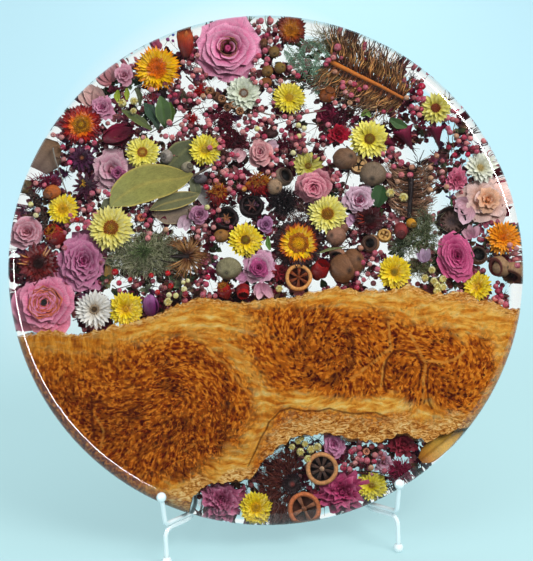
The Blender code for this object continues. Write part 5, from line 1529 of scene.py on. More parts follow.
# closed round nuts and capsules
for x, y, rx, ry, depth, body, kind in (
        (345, 159, 13, 12, 11, (112, 84, 64), "ribbed"), (373, 174, 14, 13, 10, (116, 98, 80), "smooth"), (274.6, 187, 8, 8.5, 8, (150, 124, 98), "ribbed"),
        (228.8, 268.5, 13, 11.5, 9, (128, 122, 92), "smooth"), (221.5, 236, 8, 7, 10, (140, 96, 46), "ribbed"), (336, 236, 10.5, 10, 9, (140, 100, 80), "smooth"),
        (343, 268, 14.5, 15, 12, (116, 78, 52), "smooth"), (353, 262, 12, 14, 13, (110, 74, 50), "smooth"), (166.5, 156.5, 6.5, 7.5, 7, (150, 142, 132), "bud"), (187.5, 167.5, 6.5, 6, 8, (140, 132, 112), "bud"),
        (270.7, 133.5, 8, 5.5, 13, (56, 28, 28), "ribbed"), (264, 43, 4.5, 5, 10, (96, 60, 36), "ribbed"), (274, 52, 6, 6.5, 9, (110, 84, 44), "ribbed"),
        (267.5, 71, 6, 6.5, 9, (116, 84, 40), "ribbed"), (280, 68, 6.2, 6.2, 8, (112, 88, 40), "ribbed"), (266, 82.5, 6.5, 5.5, 10, (120, 72, 34), "ribbed"),
        (502, 268, 10, 9, 13, (150, 120, 90), "smooth"), (200.5, 179, 7, 5, 11, (96, 90, 96), "bud"), (52, 192.5, 10, 9, 8, (176, 96, 44), "cap"),
        (327.6, 95, 10, 9, 9, (150, 80, 34), "cap"), (401, 231, 8, 10, 9, (130, 50, 50), "cap"), (411.5, 223.5, 6, 6, 8, (196, 140, 40), "cap"),
        (342, 228, 7, 7, 14, (120, 80, 64), "smooth"), (27, 187, 7, 8, 12, (120, 96, 60), "cap"), (186.5, 43, 9, 20, 11, (110, 40, 24), "none")):
    if kind == "none":
        continue
    it = item(x, y, depth, tilt=30, toward=(x * 7 + y * 3) % 360)
    steps, rows = 22, 11
    a = np.linspace(0.03, math.pi - 0.03, rows)
    q = (rx + ry) / 2 * MM_PX
    prof = [(q * math.sin(t) * (1.0 if kind != "cap" else 0.85 + 0.15 * math.cos(t)), -q * 0.95 * math.cos(t)) for t in a]
    cols = [tuple(int(c * (0.85 + 0.3 * k / rows)) for c in body) for k in range(rows)]
    cols[-1] = tuple(int(c * 0.4) for c in body)
    if kind == "bud":
        cols[-2] = tuple(int(c * 0.6) for c in body)
    it.spin_of(prof, cols, steps, wobble=0.035 if kind == "ribbed" else 0.012, lobes=9 if kind == "ribbed" else 4)
    if kind in ("cap", "bud"):
        it.spin_of([(q * 0.5, q * 0.86), (q * 0.56, q * 0.95), (q * 0.30, q * 0.98), (q * 0.02, q * 0.9)], [tuple(int(c * 0.7) for c in body)] * 4, 14)
    it.hairs([(0, 0, -q * 0.9)], [(0.1, 0, -1)], q * 0.5, q * 0.10, (0.1, 0, 0), [(0, (90, 64, 44)), (1, (90, 64, 44))])
    it.v = [(v - it.o) * np.array((rx * MM_PX / q, ry * MM_PX / q, 1.0)) + it.o for v in it.v]
    it.finish(called("gum_nut"), NUT)
# long two-tone nut near the top
it = item(187, 58, 9, tilt=86, toward=93)
bullet(it, 8.6 * MM_PX, 42 * MM_PX, [(70, 20, 14), (96, 20, 14), (140, 30, 16), (176, 74, 30), (60, 22, 14), (120, 84, 62), (126, 98, 80), (110, 84, 70)], 18)
it.petals(np.arange(5) * TAU / 5, 7 * MM_PX, 9 * MM_PX, 7 * MM_PX, 1.2, 0.4, 0.3, 20 * MM_PX, [(0, (150, 70, 30)), (1, (206, 120, 60))])
it.finish(called("long_gum_nut"), NUT)

# --- leaves
KHAKI = [(0, (150, 154, 96)), (0.35, (156, 156, 84)), (0.7, (146, 142, 74)), (1, (136, 130, 66))]
GREY_GREEN = [(0, (104, 108, 80)), (0.5, (96, 102, 74)), (1, (84, 88, 62))]


def leaf(points, widths, depth, stops, edge, name="gum_leaf", **kw):
    it = item(points[0][0], points[0][1], depth[0])
    d = np.interp(np.linspace(0, 1, len(points)), np.linspace(0, 1, len(depth)), depth)
    sp = [it.here(x, y, q * 0.001) for (x, y), q in zip(points, d)]
    leaf_shape(it, sp, [w * MM_PX for w in widths], stops, edge, **kw)
    return it.finish(called(name), LEAF)


leaf([(110, 207), (120, 197), (134, 188), (150, 182), (168, 180), (182, 178), (193, 174)], [0.5, 14, 18.5, 19.5, 16, 9, 1.0], (6, 5, 7), KHAKI, (206, 186, 96), fold=0.10, nu=34, nv=15, wave=0.03)
leaf([(161, 172), (172, 162), (184, 151), (196, 140)], [5, 12, 13, 1.0], (13, 10), GREY_GREEN, (150, 150, 100), fold=0.1)
leaf([(150, 210), (163, 204), (178, 200), (192, 197), (199, 194)], [1, 8, 9, 6, 1], (10, 8), [(0, (110, 112, 78)), (1, (120, 120, 84))], (214, 190, 110), fold=0.25)
leaf([(152, 214), (166, 216), (182, 214), (197, 206)], [1, 9, 10, 1], (14, 13), [(0, (150, 130, 112)), (1, (126, 112, 100))], (170, 150, 120), fold=0.1)
leaf([(198, 186), (204, 197), (207, 208)], [3, 7, 2], (13, 12), [(0, (150, 146, 144)), (1, (160, 156, 156))], (180, 176, 170), fold=0.1)
leaf([(193, 178), (196, 190), (193, 202)], [4, 6, 1], (12, 12), GREY_GREEN, (150, 150, 110), fold=0.2)
leaf([(38, 170), (44, 160), (52, 150), (60, 145)], [10, 17, 15, 4], (14, 12), [(0, (110, 92, 84)), (0.5, (130, 106, 88)), (1, (150, 110, 70))], (90, 70, 60), fold=0.1, name="round_leaf")
leaf([(165, 128), (164, 116), (163, 106), (160, 96)], [1, 8.5, 8, 1], (12, 9), [(0, (44, 66, 30)), (1, (70, 104, 44))], (90, 120, 60), fold=0.35, name="green_leaf")
leaf([(158, 130), (156, 118), (150, 110), (144, 103)], [1, 6, 6.5, 1], (13, 11), [(0, (24, 44, 32)), (1, (34, 64, 44))], (60, 90, 60), fold=0.3, name="green_leaf")
leaf([(172, 122), (171, 112), (170, 102)], [1, 5, 1], (12, 10), [(0, (60, 84, 34)), (1, (96, 126, 50))], (100, 130, 60), fold=0.3, name="green_leaf")
leaf([(152, 130), (142, 122), (132, 116), (122, 110)], [1, 4.5, 4, 1], (11, 10), [(0, (76, 88, 44)), (1, (96, 110, 60))], (120, 130, 70), fold=0.3, name="green_leaf")
leaf([(118, 90), (117, 96), (118, 102)], [1, 3.8, 1], (8, 8), [(0, (120, 140, 30)), (1, (160, 176, 50))], (170, 180, 70), fold=0.2, name="green_leaf")
leaf([(127, 88), (127, 94), (127, 100)], [1, 3.2, 1], (8, 8), [(0, (120, 140, 30)), (1, (160, 176, 50))], (170, 180, 70), fold=0.2, name="green_leaf")
leaf([(136, 88), (140, 96), (140, 106)], [2, 3, 1], (11, 11), [(0, (70, 76, 50)), (1, (60, 66, 44))], (90, 96, 60), fold=0.2, name="green_leaf")
leaf([(377, 207), (379, 198), (381, 190), (384, 186)], [2, 9, 8, 1], (10, 9), [(0, (24, 52, 24)), (0.6, (40, 76, 32)), (1, (30, 60, 28))], (60, 96, 50), fold=0.3, name="green_leaf")
leaf([(390, 119), (398, 124), (407, 127)], [2, 6, 2], (10, 10), [(0, (44, 72, 34)), (1, (60, 92, 44))], (80, 110, 60), fold=0.3, name="green_leaf")
leaf([(361, 116), (366, 112), (371, 117)], [1, 3.5, 1], (9, 9), [(0, (90, 120, 50)), (1, (110, 140, 60))], (120, 150, 70), fold=0.3, name="green_leaf")
leaf([(268, 236), (268, 244), (270, 250)], [1, 3, 1], (9, 9), [(0, (60, 100, 30)), (1, (80, 120, 40))], (100, 140, 60), fold=0.3, name="green_leaf")
leaf([(316, 254), (330, 249), (345, 247)], [0.5, 1.6, 0.5], (6, 6), [(0, (120, 130, 80)), (1, (110, 110, 70))], (140, 140, 90), fold=0.3, name="green_leaf")
leaf([(102, 208), (108, 203), (112, 198)], [2, 6, 1], (9, 9), [(0, (96, 100, 76)), (1, (110, 112, 84))], (130, 130, 100), fold=0.2, name="green_leaf")
leaf([(330, 211), (346, 206), (352, 200)], [1, 5, 2], (16, 15), [(0, (170, 176, 140)), (1, (190, 196, 160))], (200, 200, 170), fold=0.2, name="green_leaf")
leaf([(107, 262), (109, 275), (107, 289)], [1, 5, 1], (15, 15), [(0, (130, 96, 40)), (1, (150, 120, 60))], (150, 130, 70), fold=0.2, name="green_leaf")

# --- banksia and bottlebrush
# filament colours from root (0) to tip (1): dark brown with pale bands at 0.42 and 0.78, partly the filaments' own
# paler colour and partly painted highlights where the curling filaments catch the light
BANKSIA = [(0, (50, 20, 12)), (0.22, (104, 54, 26)), (0.42, (208, 152, 90)), (0.6, (116, 64, 36)), (0.78, (196, 154, 110)), (0.9, (90, 50, 36)), (1, (40, 20, 18))]


def banksia(points, depth, n, length, stops, radius=0.00042, name="banksia", **kw):
    it = item(points[0][0], points[0][1], depth)
    path = [it.here(x, y, depth * 0.001) for x, y in points]
    brush(it, path, n, length * MM_PX, radius, stops, **kw)
    return it.finish(called(name), HAIR)


# in both spikes the lights values scale whole filaments: partly random tone, the brightest ones painted highlights; the
# pale bands in their colours are likewise partly painted highlight
banksia([(329, 61), (355, 74), (380, 86), (404, 99)], 12, 500, 38, BANKSIA, seg=9, radius=0.00056, stem=(0.0026, 0.0018, [(0, (206, 120, 44)), (1, (190, 106, 40))]), lean=-0.10, bend=-0.22,
        spread=0.22, wiggle=0.045, lights=(0.18, 0.3, 0.45, 0.8, 1.3, 1.9), taper=0.7)
banksia([(410, 168), (411, 184), (410, 200), (409, 218)], 13, 330, 26, [(0, (60, 34, 26)), (0.4, (140, 100, 76)), (0.8, (190, 150, 120)), (1, (120, 84, 70))],
        stem=(0.0034, 0.0022, [(0, (26, 12, 12)), (1, (20, 10, 12))]), lean=0.15, bend=-0.5, spread=0.3, radius=0.00048, seg=8, wiggle=0.05, lights=(0.3, 0.5, 0.8, 1.2, 1.8), taper=0.6)
leaf([(461, 428), (449, 437), (437.5, 446), (427, 454.5), (420, 460)], [3.5, 8.5, 9.5, 8.5, 3], (8, 9), [(0, (214, 160, 50)), (0.45, (240, 190, 80)), (0.8, (196, 130, 36)), (1, (140, 84, 24))], (120, 70, 20), fold=0.1, name="amber_leaf")
# fan of filaments whose pale middle band is partly their own colour and partly painted highlight, as on the spike
it = item(187, 256, 10)
q = it.rng.uniform(-2.4, 2.4, 190)
fan = np.stack([np.cos(q), np.sin(q), it.rng.normal(0, 0.35, 190)], -1)
it.hairs(np.stack([0.002 * np.cos(q), 0.002 * np.sin(q), 0 * q], -1), fan, 26 * MM_PX * it.rng.uniform(0.7, 1.12, 190), 0.00062,
         np.stack([-0.15 * np.ones(190), 0.4 * np.sign(q) * it.rng.uniform(0, 1, 190) * -1, it.rng.normal(0, 0.1, 190)], -1),
         [(0, (50, 20, 12)), (0.25, (120, 66, 30)), (0.5, (214, 164, 104)), (0.72, (170, 110, 60)), (0.88, (80, 40, 26)), (1, (44, 22, 18))], seg=6)
it.tube([(-0.016, 0.0005, 0), (-0.006, 0, 0), (0.002, 0, 0)], (0.0012, 0.002, 0.0024), [(0, (30, 14, 12)), (1, (20, 8, 8))], 8)
it.finish(called("banksia_fan"), HAIR)
# lower brush with its black heart
it = item(292, 484, 11)
n_f = 1100
q = it.rng.uniform(1.2, 4.6, n_f)
rad = 0.028 * np.sqrt(it.rng.uniform(0.06, 1, n_f))
roots = np.stack([rad * np.cos(q) * 0.95, rad * np.sin(q) * 1.02, it.rng.uniform(-0.006, 0.004, n_f)], -1)
it.hairs(roots, np.stack([np.cos(q + it.rng.normal(0, 0.5, n_f)), np.sin(q + it.rng.normal(0, 0.5, n_f)), it.rng.normal(0.3, 0.3, n_f)], -1),
         0.0085 * it.rng.uniform(0.6, 1.15, n_f), 0.00038, it.rng.normal(0, 0.25, (n_f, 3)), [(0, (56, 20, 18)), (0.6, (110, 50, 40)), (0.9, (150, 84, 66)), (1, (100, 50, 40))], seg=3)
q = it.rng.uniform(0, TAU, 160)
it.hairs(np.stack([0.004 * np.cos(q), 0.004 * np.sin(q), 0.003 + 0 * q], -1), np.stack([np.cos(q), np.sin(q), it.rng.uniform(0, 0.6, 160)], -1), 0.006, 0.0006, (0, 0, 0.2),
         [(0, (20, 8, 10)), (1, (50, 30, 34))])
it.spin_of([(0.0075, -0.002), (0.006, 0.002), (0.003, 0.0045), (0.0002, 0.0048)], [(20, 8, 10), (16, 6, 8), (30, 10, 12), (120, 50, 44)], 14)
it.finish(called("banksia_brush"), HAIR)
it = item(283, 507, 12)
n_f = 420
q = it.rng.uniform(2.2, 5.6, n_f)
rad = 0.016 * np.sqrt(it.rng.uniform(0.02, 1, n_f))
it.hairs(np.stack([rad * np.cos(q), rad * np.sin(q) + 0.004, it.rng.uniform(-0.005, 0.003, n_f)], -1), np.stack([0.5 * np.cos(q), -0.9 + 0 * q, it.rng.normal(0.2, 0.3, n_f)], -1),
         0.010, 0.0004, it.rng.normal(0, 0.2, (n_f, 3)), [(0, (70, 46, 46)), (0.6, (130, 96, 92)), (1, (160, 126, 118))], seg=3)
it.finish(called("banksia_brush"), HAIR)
# black spiky head
it = item(283.5, 201.5, 10)
fluff(it, (0, 0, 0), (0.0105, 0.0105, 0.007), 700, 0.0072, 0.0005, [(0, (14, 8, 12)), (0.7, (30, 20, 26)), (1, (66, 48, 50))], bend=0.2, flat=0.8)
it.finish(called("black_seed_head"), HAIR)
it = item(297, 212, 14)
fluff(it, (0, 0, 0), (0.012, 0.007, 0.004), 260, 0.007, 0.0003, [(0, (80, 50, 46)), (1, (150, 116, 106))], bend=0.5, flat=0.6)
it.finish(called("dry_tuft"), HAIR)
# catkin at the left
it = item(44, 205, 12)
path = np.array([it.here(x, y, 0.012) for x, y in ((26, 189), (33, 194), (38, 202), (42, 212), (45, 222), (45, 231))])
u = it.rng.uniform(0, 1, 210)
c = np.stack([np.interp(u, np.linspace(0, 1, 6), path[:, k]) for k in range(3)], -1)
d = it.rng.normal(size=(210, 3))
d /= np.linalg.norm(d, axis=1, keepdims=True)
it.balls(c + d * 0.0035, it.rng.uniform(0.0008, 0.0014, 210), lin((66, 46, 40)) * it.rng.uniform(0.6, 1.5, (210, 1)), small=True)
it.tube(path, 0.0016, [(0, (60, 44, 34)), (1, (50, 36, 30))])
it.finish(called("catkin"), NUT)

# --- moss, fern and grey-green tufts
MOSS = [(0, (76, 82, 54)), (0.5, (148, 154, 110)), (0.85, (194, 194, 156)), (1, (220, 216, 186))]


def moss(x, y, rx, ry, depth, n, length=0.0055, stops=MOSS, radius=0.0003, name="grey_moss", flat=0.6):
    it = item(x, y, depth)
    fluff(it, (0, 0, 0), (rx * MM_PX, ry * MM_PX, 0.005), n, length, radius, stops, bend=0.7, flat=flat, inward=0.0, seg=2)
    return it.finish(called(name), HAIR)


moss(146, 254, 38, 21, 14, 2900, 0.0052, radius=0.00044)
moss(150, 262, 36, 14, 18, 900, 0.0060, [(0, (60, 34, 30)), (1, (120, 84, 76))])
it = item(143, 252, 8)
fluff(it, (0, 0, 0), (0.004, 0.004, 0.002), 150, 0.011, 0.0004, [(0, (40, 56, 30)), (1, (130, 150, 96))], bend=0.3, flat=0.7)
it.finish(called("grey_moss"), HAIR)
moss(423.5, 238, 13, 14, 10, 420, 0.008, [(0, (50, 60, 34)), (0.6, (110, 124, 80)), (1, (170, 176, 140))])
moss(424, 222, 8, 16, 12, 300, 0.007, [(0, (60, 70, 44)), (0.6, (120, 130, 94)), (1, (176, 180, 150))])
moss(404, 246, 12, 8, 13, 260, 0.007, [(0, (50, 60, 40)), (0.6, (110, 124, 90)), (1, (160, 170, 140))])
moss(418, 268, 12, 9, 13, 260, 0.006, [(0, (60, 66, 40)), (0.6, (124, 126, 84)), (1, (170, 170, 130))])
moss(325, 40, 13, 13, 14, 330, 0.006, [(0, (90, 90, 60)), (1, (170, 160, 120))])
moss(335, 78, 13, 8, 15, 300, 0.006, [(0, (90, 96, 70)), (1, (176, 176, 140))])
FERN = [(0, (60, 96, 76)), (0.5, (110, 150, 126)), (1, (176, 200, 176))]
fern_it = item(300, 60, 12)
for pts in (((286, 44), (296, 56), (308, 68), (322, 82)), ((288, 52), (298, 66), (312, 84), (320, 95)), ((300, 38), (312, 50), (322, 66), (330, 84)),
            ((296, 48), (308, 60), (320, 74), (332, 90)), ((284, 50), (290, 60), (300, 72)), ((306, 40), (320, 46), (330, 58)), ((312, 70), (318, 82), (316, 94)),
            ((305, 44), (300, 56), (304, 70)), ((318, 52), (316, 66), (322, 80))):
    path = [fern_it.here(x, y, 0.011 + 0.001 * (k % 2)) for k, (x, y) in enumerate(pts)]
    fern(fern_it, path, 46, 0.0052, 0.0011, FERN, stem=(96, 120, 96))
fern_it.finish(called("fern_frond"), LEAF)

# --- small cream flowers
for pts, depth, r in (([(390.3, 193), (403.6, 197.3)], 7, 6.2), ([(425, 278), (432, 270), (434, 281), (437, 285), (443, 279), (443, 287), (437, 291)], 8, 5.0),
                      ([(167.8, 302)], 7, 5.5), ([(279.2, 288.7)], 7, 4.8), ([(300.5, 452), (311, 449.5), (317.5, 447), (308, 459)], 7, 5.2),
                      ([(298, 441), (305, 444), (292, 447), (301.5, 438)], 8, 4.2), ([(134, 101)], 8, 5.4), ([(133.5, 111)], 8, 4.6), ([(122, 103)], 9, 6)):
    for x, y in pts:
        it = item(x, y, depth, tilt=10, toward=(x * 13) % 360)
        q = r * MM_PX
        it.balls([(0, 0, -q * 0.2)], q * 0.75, lin((214, 206, 120)))
        it.cups(np.arange(7) * TAU / 7, 0.6, q * 0.55, q * 0.9, -q * 0.6, q * 0.35, -q * 0.5, [(0, (190, 186, 96)), (0.6, (226, 220, 140)), (1, (244, 240, 190))])
        it.petals(np.arange(6) * TAU / 6, q * 0.12, q * 0.7, q * 0.35, 0.15, -0.3, 0.3, q * 0.52, [(0, (206, 176, 60)), (1, (240, 234, 160))], nu=4, nv=3)
        it.finish(called("cream_bud"), PAPER)

# --- pepper berries and their twigs
def crop(points, ox, oy, k):
    return [(ox + q[0] / k, oy + q[1] / k) + tuple(q[2:]) for q in points]


TAN = [(196, 150, 120), (206, 160, 124), (186, 130, 104)]
CRIMSON = [(176, 20, 60), (190, 30, 70), (150, 24, 54)]
REDS = [(176, 8, 20), (196, 14, 24)]
CREAMS = [(226, 222, 150), (236, 232, 176)]
DUSK = [(110, 50, 60), (96, 44, 50)]
B1 = crop([(930, 220), (1005, 175), (1020, 245), (960, 275), (915, 355), (985, 390), (860, 400), (830, 440), (935, 430), (925, 475), (815, 525), (880, 100), (965, 100), (860, 150),
           (280, 400), (325, 395), (200, 455), (250, 465), (285, 575), (315, 525), (345, 525), (365, 585), (400, 565), (160, 670), (270, 672), (130, 740), (85, 755), (255, 735),
           (210, 790), (260, 790), (300, 745), (335, 800), (430, 755), (480, 840), (145, 800), (175, 855), (205, 880), (230, 930), (215, 965), (190, 1000), (220, 1040), (265, 1010),
           (320, 1040), (395, 1020), (420, 965), (400, 915), (490, 1040), (430, 1000), (50, 1100), (105, 1110), (170, 1080), (520, 1135), (545, 1150), (1130, 505), (1165, 545),
           (1200, 575), (985, 585), (1050, 620), (805, 600), (830, 630), (880, 630), (925, 660), (955, 700), (855, 795), (990, 805), (1110, 840), (1170, 835), (880, 860), (1280, 885),
           (785, 925), (830, 915), (760, 980), (815, 980), (885, 1000), (910, 950), (960, 965), (985, 930), (1085, 930), (1120, 980), (1140, 945), (1215, 935), (1380, 960),
           (1465, 1000), (685, 1005), (755, 1045), (720, 1065), (845, 1030), (1000, 1030), (850, 1095), (910, 1105), (1060, 1050), (1090, 1085), (1150, 1120), (1185, 1110),
           (1250, 1085), (1330, 1135), (1370, 1180), (1420, 1115), (1245, 1170), (1185, 1175), (1210, 1210), (1265, 1225), (1075, 1280), (1015, 1220), (1015, 1310), (985, 1285),
           (955, 1255), (970, 1350), (1145, 1340), (1350, 1280), (1425, 1290), (1470, 1320), (625, 1260), (675, 1265), (600, 1305), (510, 1340), (470, 1380), (455, 1440),
           (490, 1490), (545, 1410), (575, 1400), (575, 1440), (615, 1450), (660, 1460), (700, 1410), (715, 1450), (615, 1505), (690, 1540), (725, 1550), (600, 1560),
           (400, 1540), (435, 1200), (520, 1200), (550, 1185), (940, 1410), (990, 1440), (1520, 1455), (1545, 1480), (1510, 415), (1465, 440), (1445, 475), (1545, 330),
           (1525, 810), (1490, 760)], 160, 10, 8.711)
B2 = crop([(100, 490), (160, 490), (190, 505), (100, 525), (230, 545), (278, 530), (120, 570), (165, 590), (215, 630), (40, 650), (110, 680), (60, 215, 4), (25, 300),
           (660, 610), (695, 620), (730, 625), (640, 680), (680, 690), (715, 700), (650, 730), (700, 745), (420, 720), (870, 675), (925, 770), (960, 780), (990, 790), (485, 1010),
           (460, 1030), (410, 1050), (470, 1075), (520, 1065), (440, 1100), (500, 1150), (560, 1115), (555, 1130), (450, 1220), (560, 1215), (625, 1215), (880, 1190), (1070, 965),
           (1150, 1030), (940, 880), (1010, 950), (1050, 920), (1060, 1010), (880, 1105), (925, 850), (1150, 1000), (1100, 930), (1200, 950), (60, 1200), (60, 1300), (30, 1230)], 330, 20, 7.84)
B3 = crop([(300, 50), (405, 30), (470, 55), (515, 70), (580, 55), (330, 100), (465, 120), (455, 180), (555, 160), (490, 215), (355, 370), (305, 390), (165, 440), (355, 465),
           (235, 515), (310, 530), (120, 540), (170, 565), (160, 620), (300, 635), (240, 1055), (210, 1150), (270, 1165), (325, 1160), (865, 45), (1440, 70), (1460, 145), (1410, 90)],
          180, 170, 9.2235)
B4 = crop([(405, 45), (505, 40), (580, 40), (120, 520), (150, 715), (185, 765), (140, 855), (195, 905), (150, 930), (140, 970), (290, 685), (335, 680), (265, 735), (245, 780),
           (230, 860), (310, 820), (1285, 960), (1300, 1000), (1330, 1040), (1280, 1060), (1330, 1090), (1340, 1150), (1420, 1165), (1400, 620), (1450, 650), (1400, 660),
           (1460, 790), (1310, 1070), (1290, 1050), (1365, 1110)], 340, 170, 8.2526)
B5 = crop([(225, 115), (300, 130), (775, 185), (715, 205), (830, 190), (860, 215), (720, 300), (695, 340), (740, 395), (745, 450), (640, 350), (525, 395), (540, 440), (620, 430),
           (495, 485), (470, 550), (415, 665), (475, 680), (395, 730), (690, 480), (680, 450), (660, 460), (650, 500), (240, 350), (1170, 395), (1220, 440), (1190, 480),
           (1215, 555), (1200, 595), (955, 1050), (1525, 1085)], 10, 170, 8.711)
B6 = crop([(1070, 130), (1105, 130), (1060, 175), (1140, 165), (1195, 165, 3.6), (1065, 215), (1160, 220), (1195, 210), (1210, 240), (1035, 270), (1075, 250), (1110, 255),
           (1155, 260), (970, 280), (1000, 310), (1030, 185), (1220, 320, 3.2), (1010, 200), (1050, 240), (960, 300)], 190, 420, 6.272)
B7 = crop([(620, 1140), (735, 1160), (675, 1205), (540, 1225), (460, 1195), (470, 1300), (450, 1110), (380, 1090), (1350, 640), (1230, 695), (1160, 1110), (1390, 985)], 10, 10, 8.711)
SPECIAL = [(crop([(375, 750), (80, 975), (1525, 540)], 160, 10, 8.711), TAN), (crop([(1205, 1005), (1255, 1030), (1210, 1100), (1160, 1245), (845, 1035)], 160, 10, 8.711), CREAMS),
           (crop([(600, 610), (155, 650), (640, 1155), (785, 1160), (790, 1240), (835, 1065), (990, 910)], 330, 20, 7.84), TAN),
           (crop([(720, 520, 3.9), (705, 570, 3.9), (930, 1000), (975, 1060), (1080, 1055), (1120, 1005)], 330, 20, 7.84), CRIMSON),
           (crop([(240, 160), (255, 990), (50, 1140)], 180, 170, 9.2235), CRIMSON), (crop([(250, 345), (30, 1035, 2.2), (70, 1020, 2.2), (40, 1100)], 180, 170, 9.2235), CREAMS),
           (crop([(590, 175)], 180, 170, 9.2235), [(206, 140, 60)]), (crop([(475, 95), (745, 165), (170, 645), (880, 140)], 340, 170, 8.2526), TAN),
           (crop([(275, 865), (275, 935)], 340, 170, 8.2526), DUSK),
           (crop([(180, 300), (225, 395), (1510, 980, 2.2), (1550, 965, 2.2), (1515, 1040), (1385, 1090), (1445, 1095)], 10, 170, 8.711), CREAMS),
           (crop([(915, 890, 3.6), (1045, 955, 2.6), (1230, 920, 2.8), (1375, 900, 2.8), (1400, 1010, 3.0), (1285, 1065, 2.8), (580, 435)], 10, 170, 8.711), REDS),
           (crop([(590, 510), (950, 985), (1490, 2000)], 10, 170, 8.711)[:2], CRIMSON), (crop([(1360, 520)], 10, 170, 8.711), TAN),
           (crop([(520, 1330)], 10, 10, 8.711), [(226, 70, 120)]), ([(168, 40, 2.0), (173.5, 35.5, 1.6), (173, 41, 1.6)], [(130, 60, 120), (60, 80, 170)]),
           (crop([(1135, 300)], 190, 420, 6.272), TAN)]

all_berries = B1 + B2 + B3 + B4 + B5 + B6 + B7
rs = np.random.RandomState(77)
pos = np.array([(q[0], q[1]) for q in all_berries])
rad = np.array([(q[2] if len(q) > 2 else 2.95) for q in all_berries])
dep = 5.5 + 3.0 * rs.uniform(0, 1, len(pos))
# groups of neighbours share a twig
group = -np.ones(len(pos), int)
g_n = 0
for i in range(len(pos)):
    if group[i] < 0:
        near = np.where((np.hypot(*(pos - pos[i]).T) < 21) & (group < 0))[0]
        group[near[:13]] = g_n
        g_n += 1
for g in range(g_n):
    ids = np.where(group == g)[0]
    cx, cy = pos[ids].mean(0)
    a = rs.uniform(0, TAU)
    it = item(cx, cy, 8, seed=g + 5)
    cluster(it, [(pos[i, 0], pos[i, 1], dep[i], rad[i]) for i in ids], root=(cx + 9 * math.cos(a), cy + 9 * math.sin(a), 13))
    it.finish(called("pepper_berries"), BERRY)
for k, (pts, cols) in enumerate(SPECIAL):
    cx, cy = np.mean([q[0] for q in pts]), np.mean([q[1] for q in pts])
    it = item(cx, cy, 8, seed=300 + k)
    p = [it.here(q[0], q[1], 0.0065) for q in pts]
    it.balls(p, [(q[2] if len(q) > 2 else 3.0) * MM_PX for q in pts], np.array([lin(cols[i % len(cols)]) for i in range(len(pts))]))
    for q in p:
        it.hairs([q], [(rs.normal(), rs.normal(), -0.8)], 0.010, 0.00032, (rs.normal() * 0.3, rs.normal() * 0.3, 0), [(0, (120, 84, 60)), (1, (84, 60, 44))])
    it.finish(called("berries"), BERRY)

# --- stems and twigs
TWIGS = [([(255, 110), (272, 116), (300, 115), (326, 110)], 11, 1.5, (150, 130, 116)), ([(160, 131), (176, 122), (190, 114)], 12, 0.9, (50, 44, 40)),
         ([(186, 76), (194, 84), (204, 93)], 12, 1.4, (60, 40, 34)), ([(53, 148), (55, 160), (61, 176), (68, 196)], 8, 1.3, (150, 146, 136)), ([(190, 178), (204, 170), (222, 162)], 11, 2.2, (120, 104, 92)),
         ([(204, 93), (218, 100), (232, 106), (246, 114)], 11, 2.6, (84, 50, 36)), ([(112, 290), (128, 286), (146, 279), (160, 274)], 12, 0.9, (80, 44, 36)),
         ([(103, 286), (112, 278), (118, 272)], 12, 0.7, (90, 50, 40)), ([(150, 133), (160, 128), (172, 126), (184, 124)], 10, 0.8, (60, 56, 44)), ([(300, 124), (318, 124), (330, 130), (345, 146)], 13, 1.0, (50, 24, 24)),
         ([(262, 134), (276, 124), (290, 120)], 14, 0.8, (50, 30, 26)), ([(415, 172), (420, 160), (424, 150)], 12, 0.9, (30, 20, 20)), ([(447, 130), (450, 146), (446, 162)], 12, 0.9, (90, 60, 40)),
         ([(455, 122), (452, 140), (455, 154)], 11, 0.8, (150, 110, 60)), ([(340, 250), (356, 249), (372, 251)], 11, 1.6, (30, 26, 34)), ([(344, 258), (362, 258), (384, 254)], 12, 1.0, (40, 34, 34)),
         ([(452, 208), (451, 200), (449, 192)], 10, 1.1, (60, 110, 60)), ([(446, 196), (450, 198), (454, 193)], 10, 1.4, (70, 60, 120)), ([(296, 470), (310, 476), (340, 474), (360, 470), (388, 474)], 15, 1.2, (50, 30, 24)),
         ([(352, 472), (372, 474), (392, 478), (402, 490)], 16, 2.2, (96, 40, 36)), ([(248, 218), (252, 214), (258, 200)], 12, 1.0, (40, 20, 20)), ([(256, 216), (257, 224), (258, 230)], 12, 1.0, (40, 20, 20)),
         ([(82, 136), (94, 146), (108, 146)], 13, 0.7, (110, 80, 76)), ([(62, 230), (70, 222), (76, 214)], 12, 0.8, (60, 40, 36)), ([(74, 240), (80, 232), (88, 226)], 13, 0.6, (110, 90, 80)),
         ([(176, 262), (168, 262), (160, 260)], 9, 1.4, (30, 14, 14)), ([(346, 146), (352, 152), (350, 170), (344, 190)], 13, 1.6, (90, 70, 60)), ([(169, 40), (172, 44), (178, 50)], 11, 0.4, (90, 60, 70)),
         ([(430, 150), (440, 160), (452, 166)], 12, 0.7, (90, 60, 50)), ([(205, 132), (214, 138), (222, 150)], 14, 0.8, (60, 30, 30))]
for pts, depth, w, c in TWIGS:
    it = item(pts[0][0], pts[0][1], depth)
    p = np.array([it.here(x, y, depth * 0.001) for x, y in pts])
    t = np.linspace(0, 1, 14)
    p = np.stack([np.interp(t, np.linspace(0, 1, len(p)), p[:, k]) for k in range(3)], -1)
    for _ in range(3):
        p[1:-1] = (p[:-2] + 2 * p[1:-1] + p[2:]) / 4
    p += it.rng.normal(0, 0.00012, p.shape)
    it.tube(p, w * MM_PX * np.linspace(0.6, 0.4, 14), [(0, c), (1, tuple(int(q * 0.8) for q in c))], 7)
    it.finish(called("twig"), NUT)

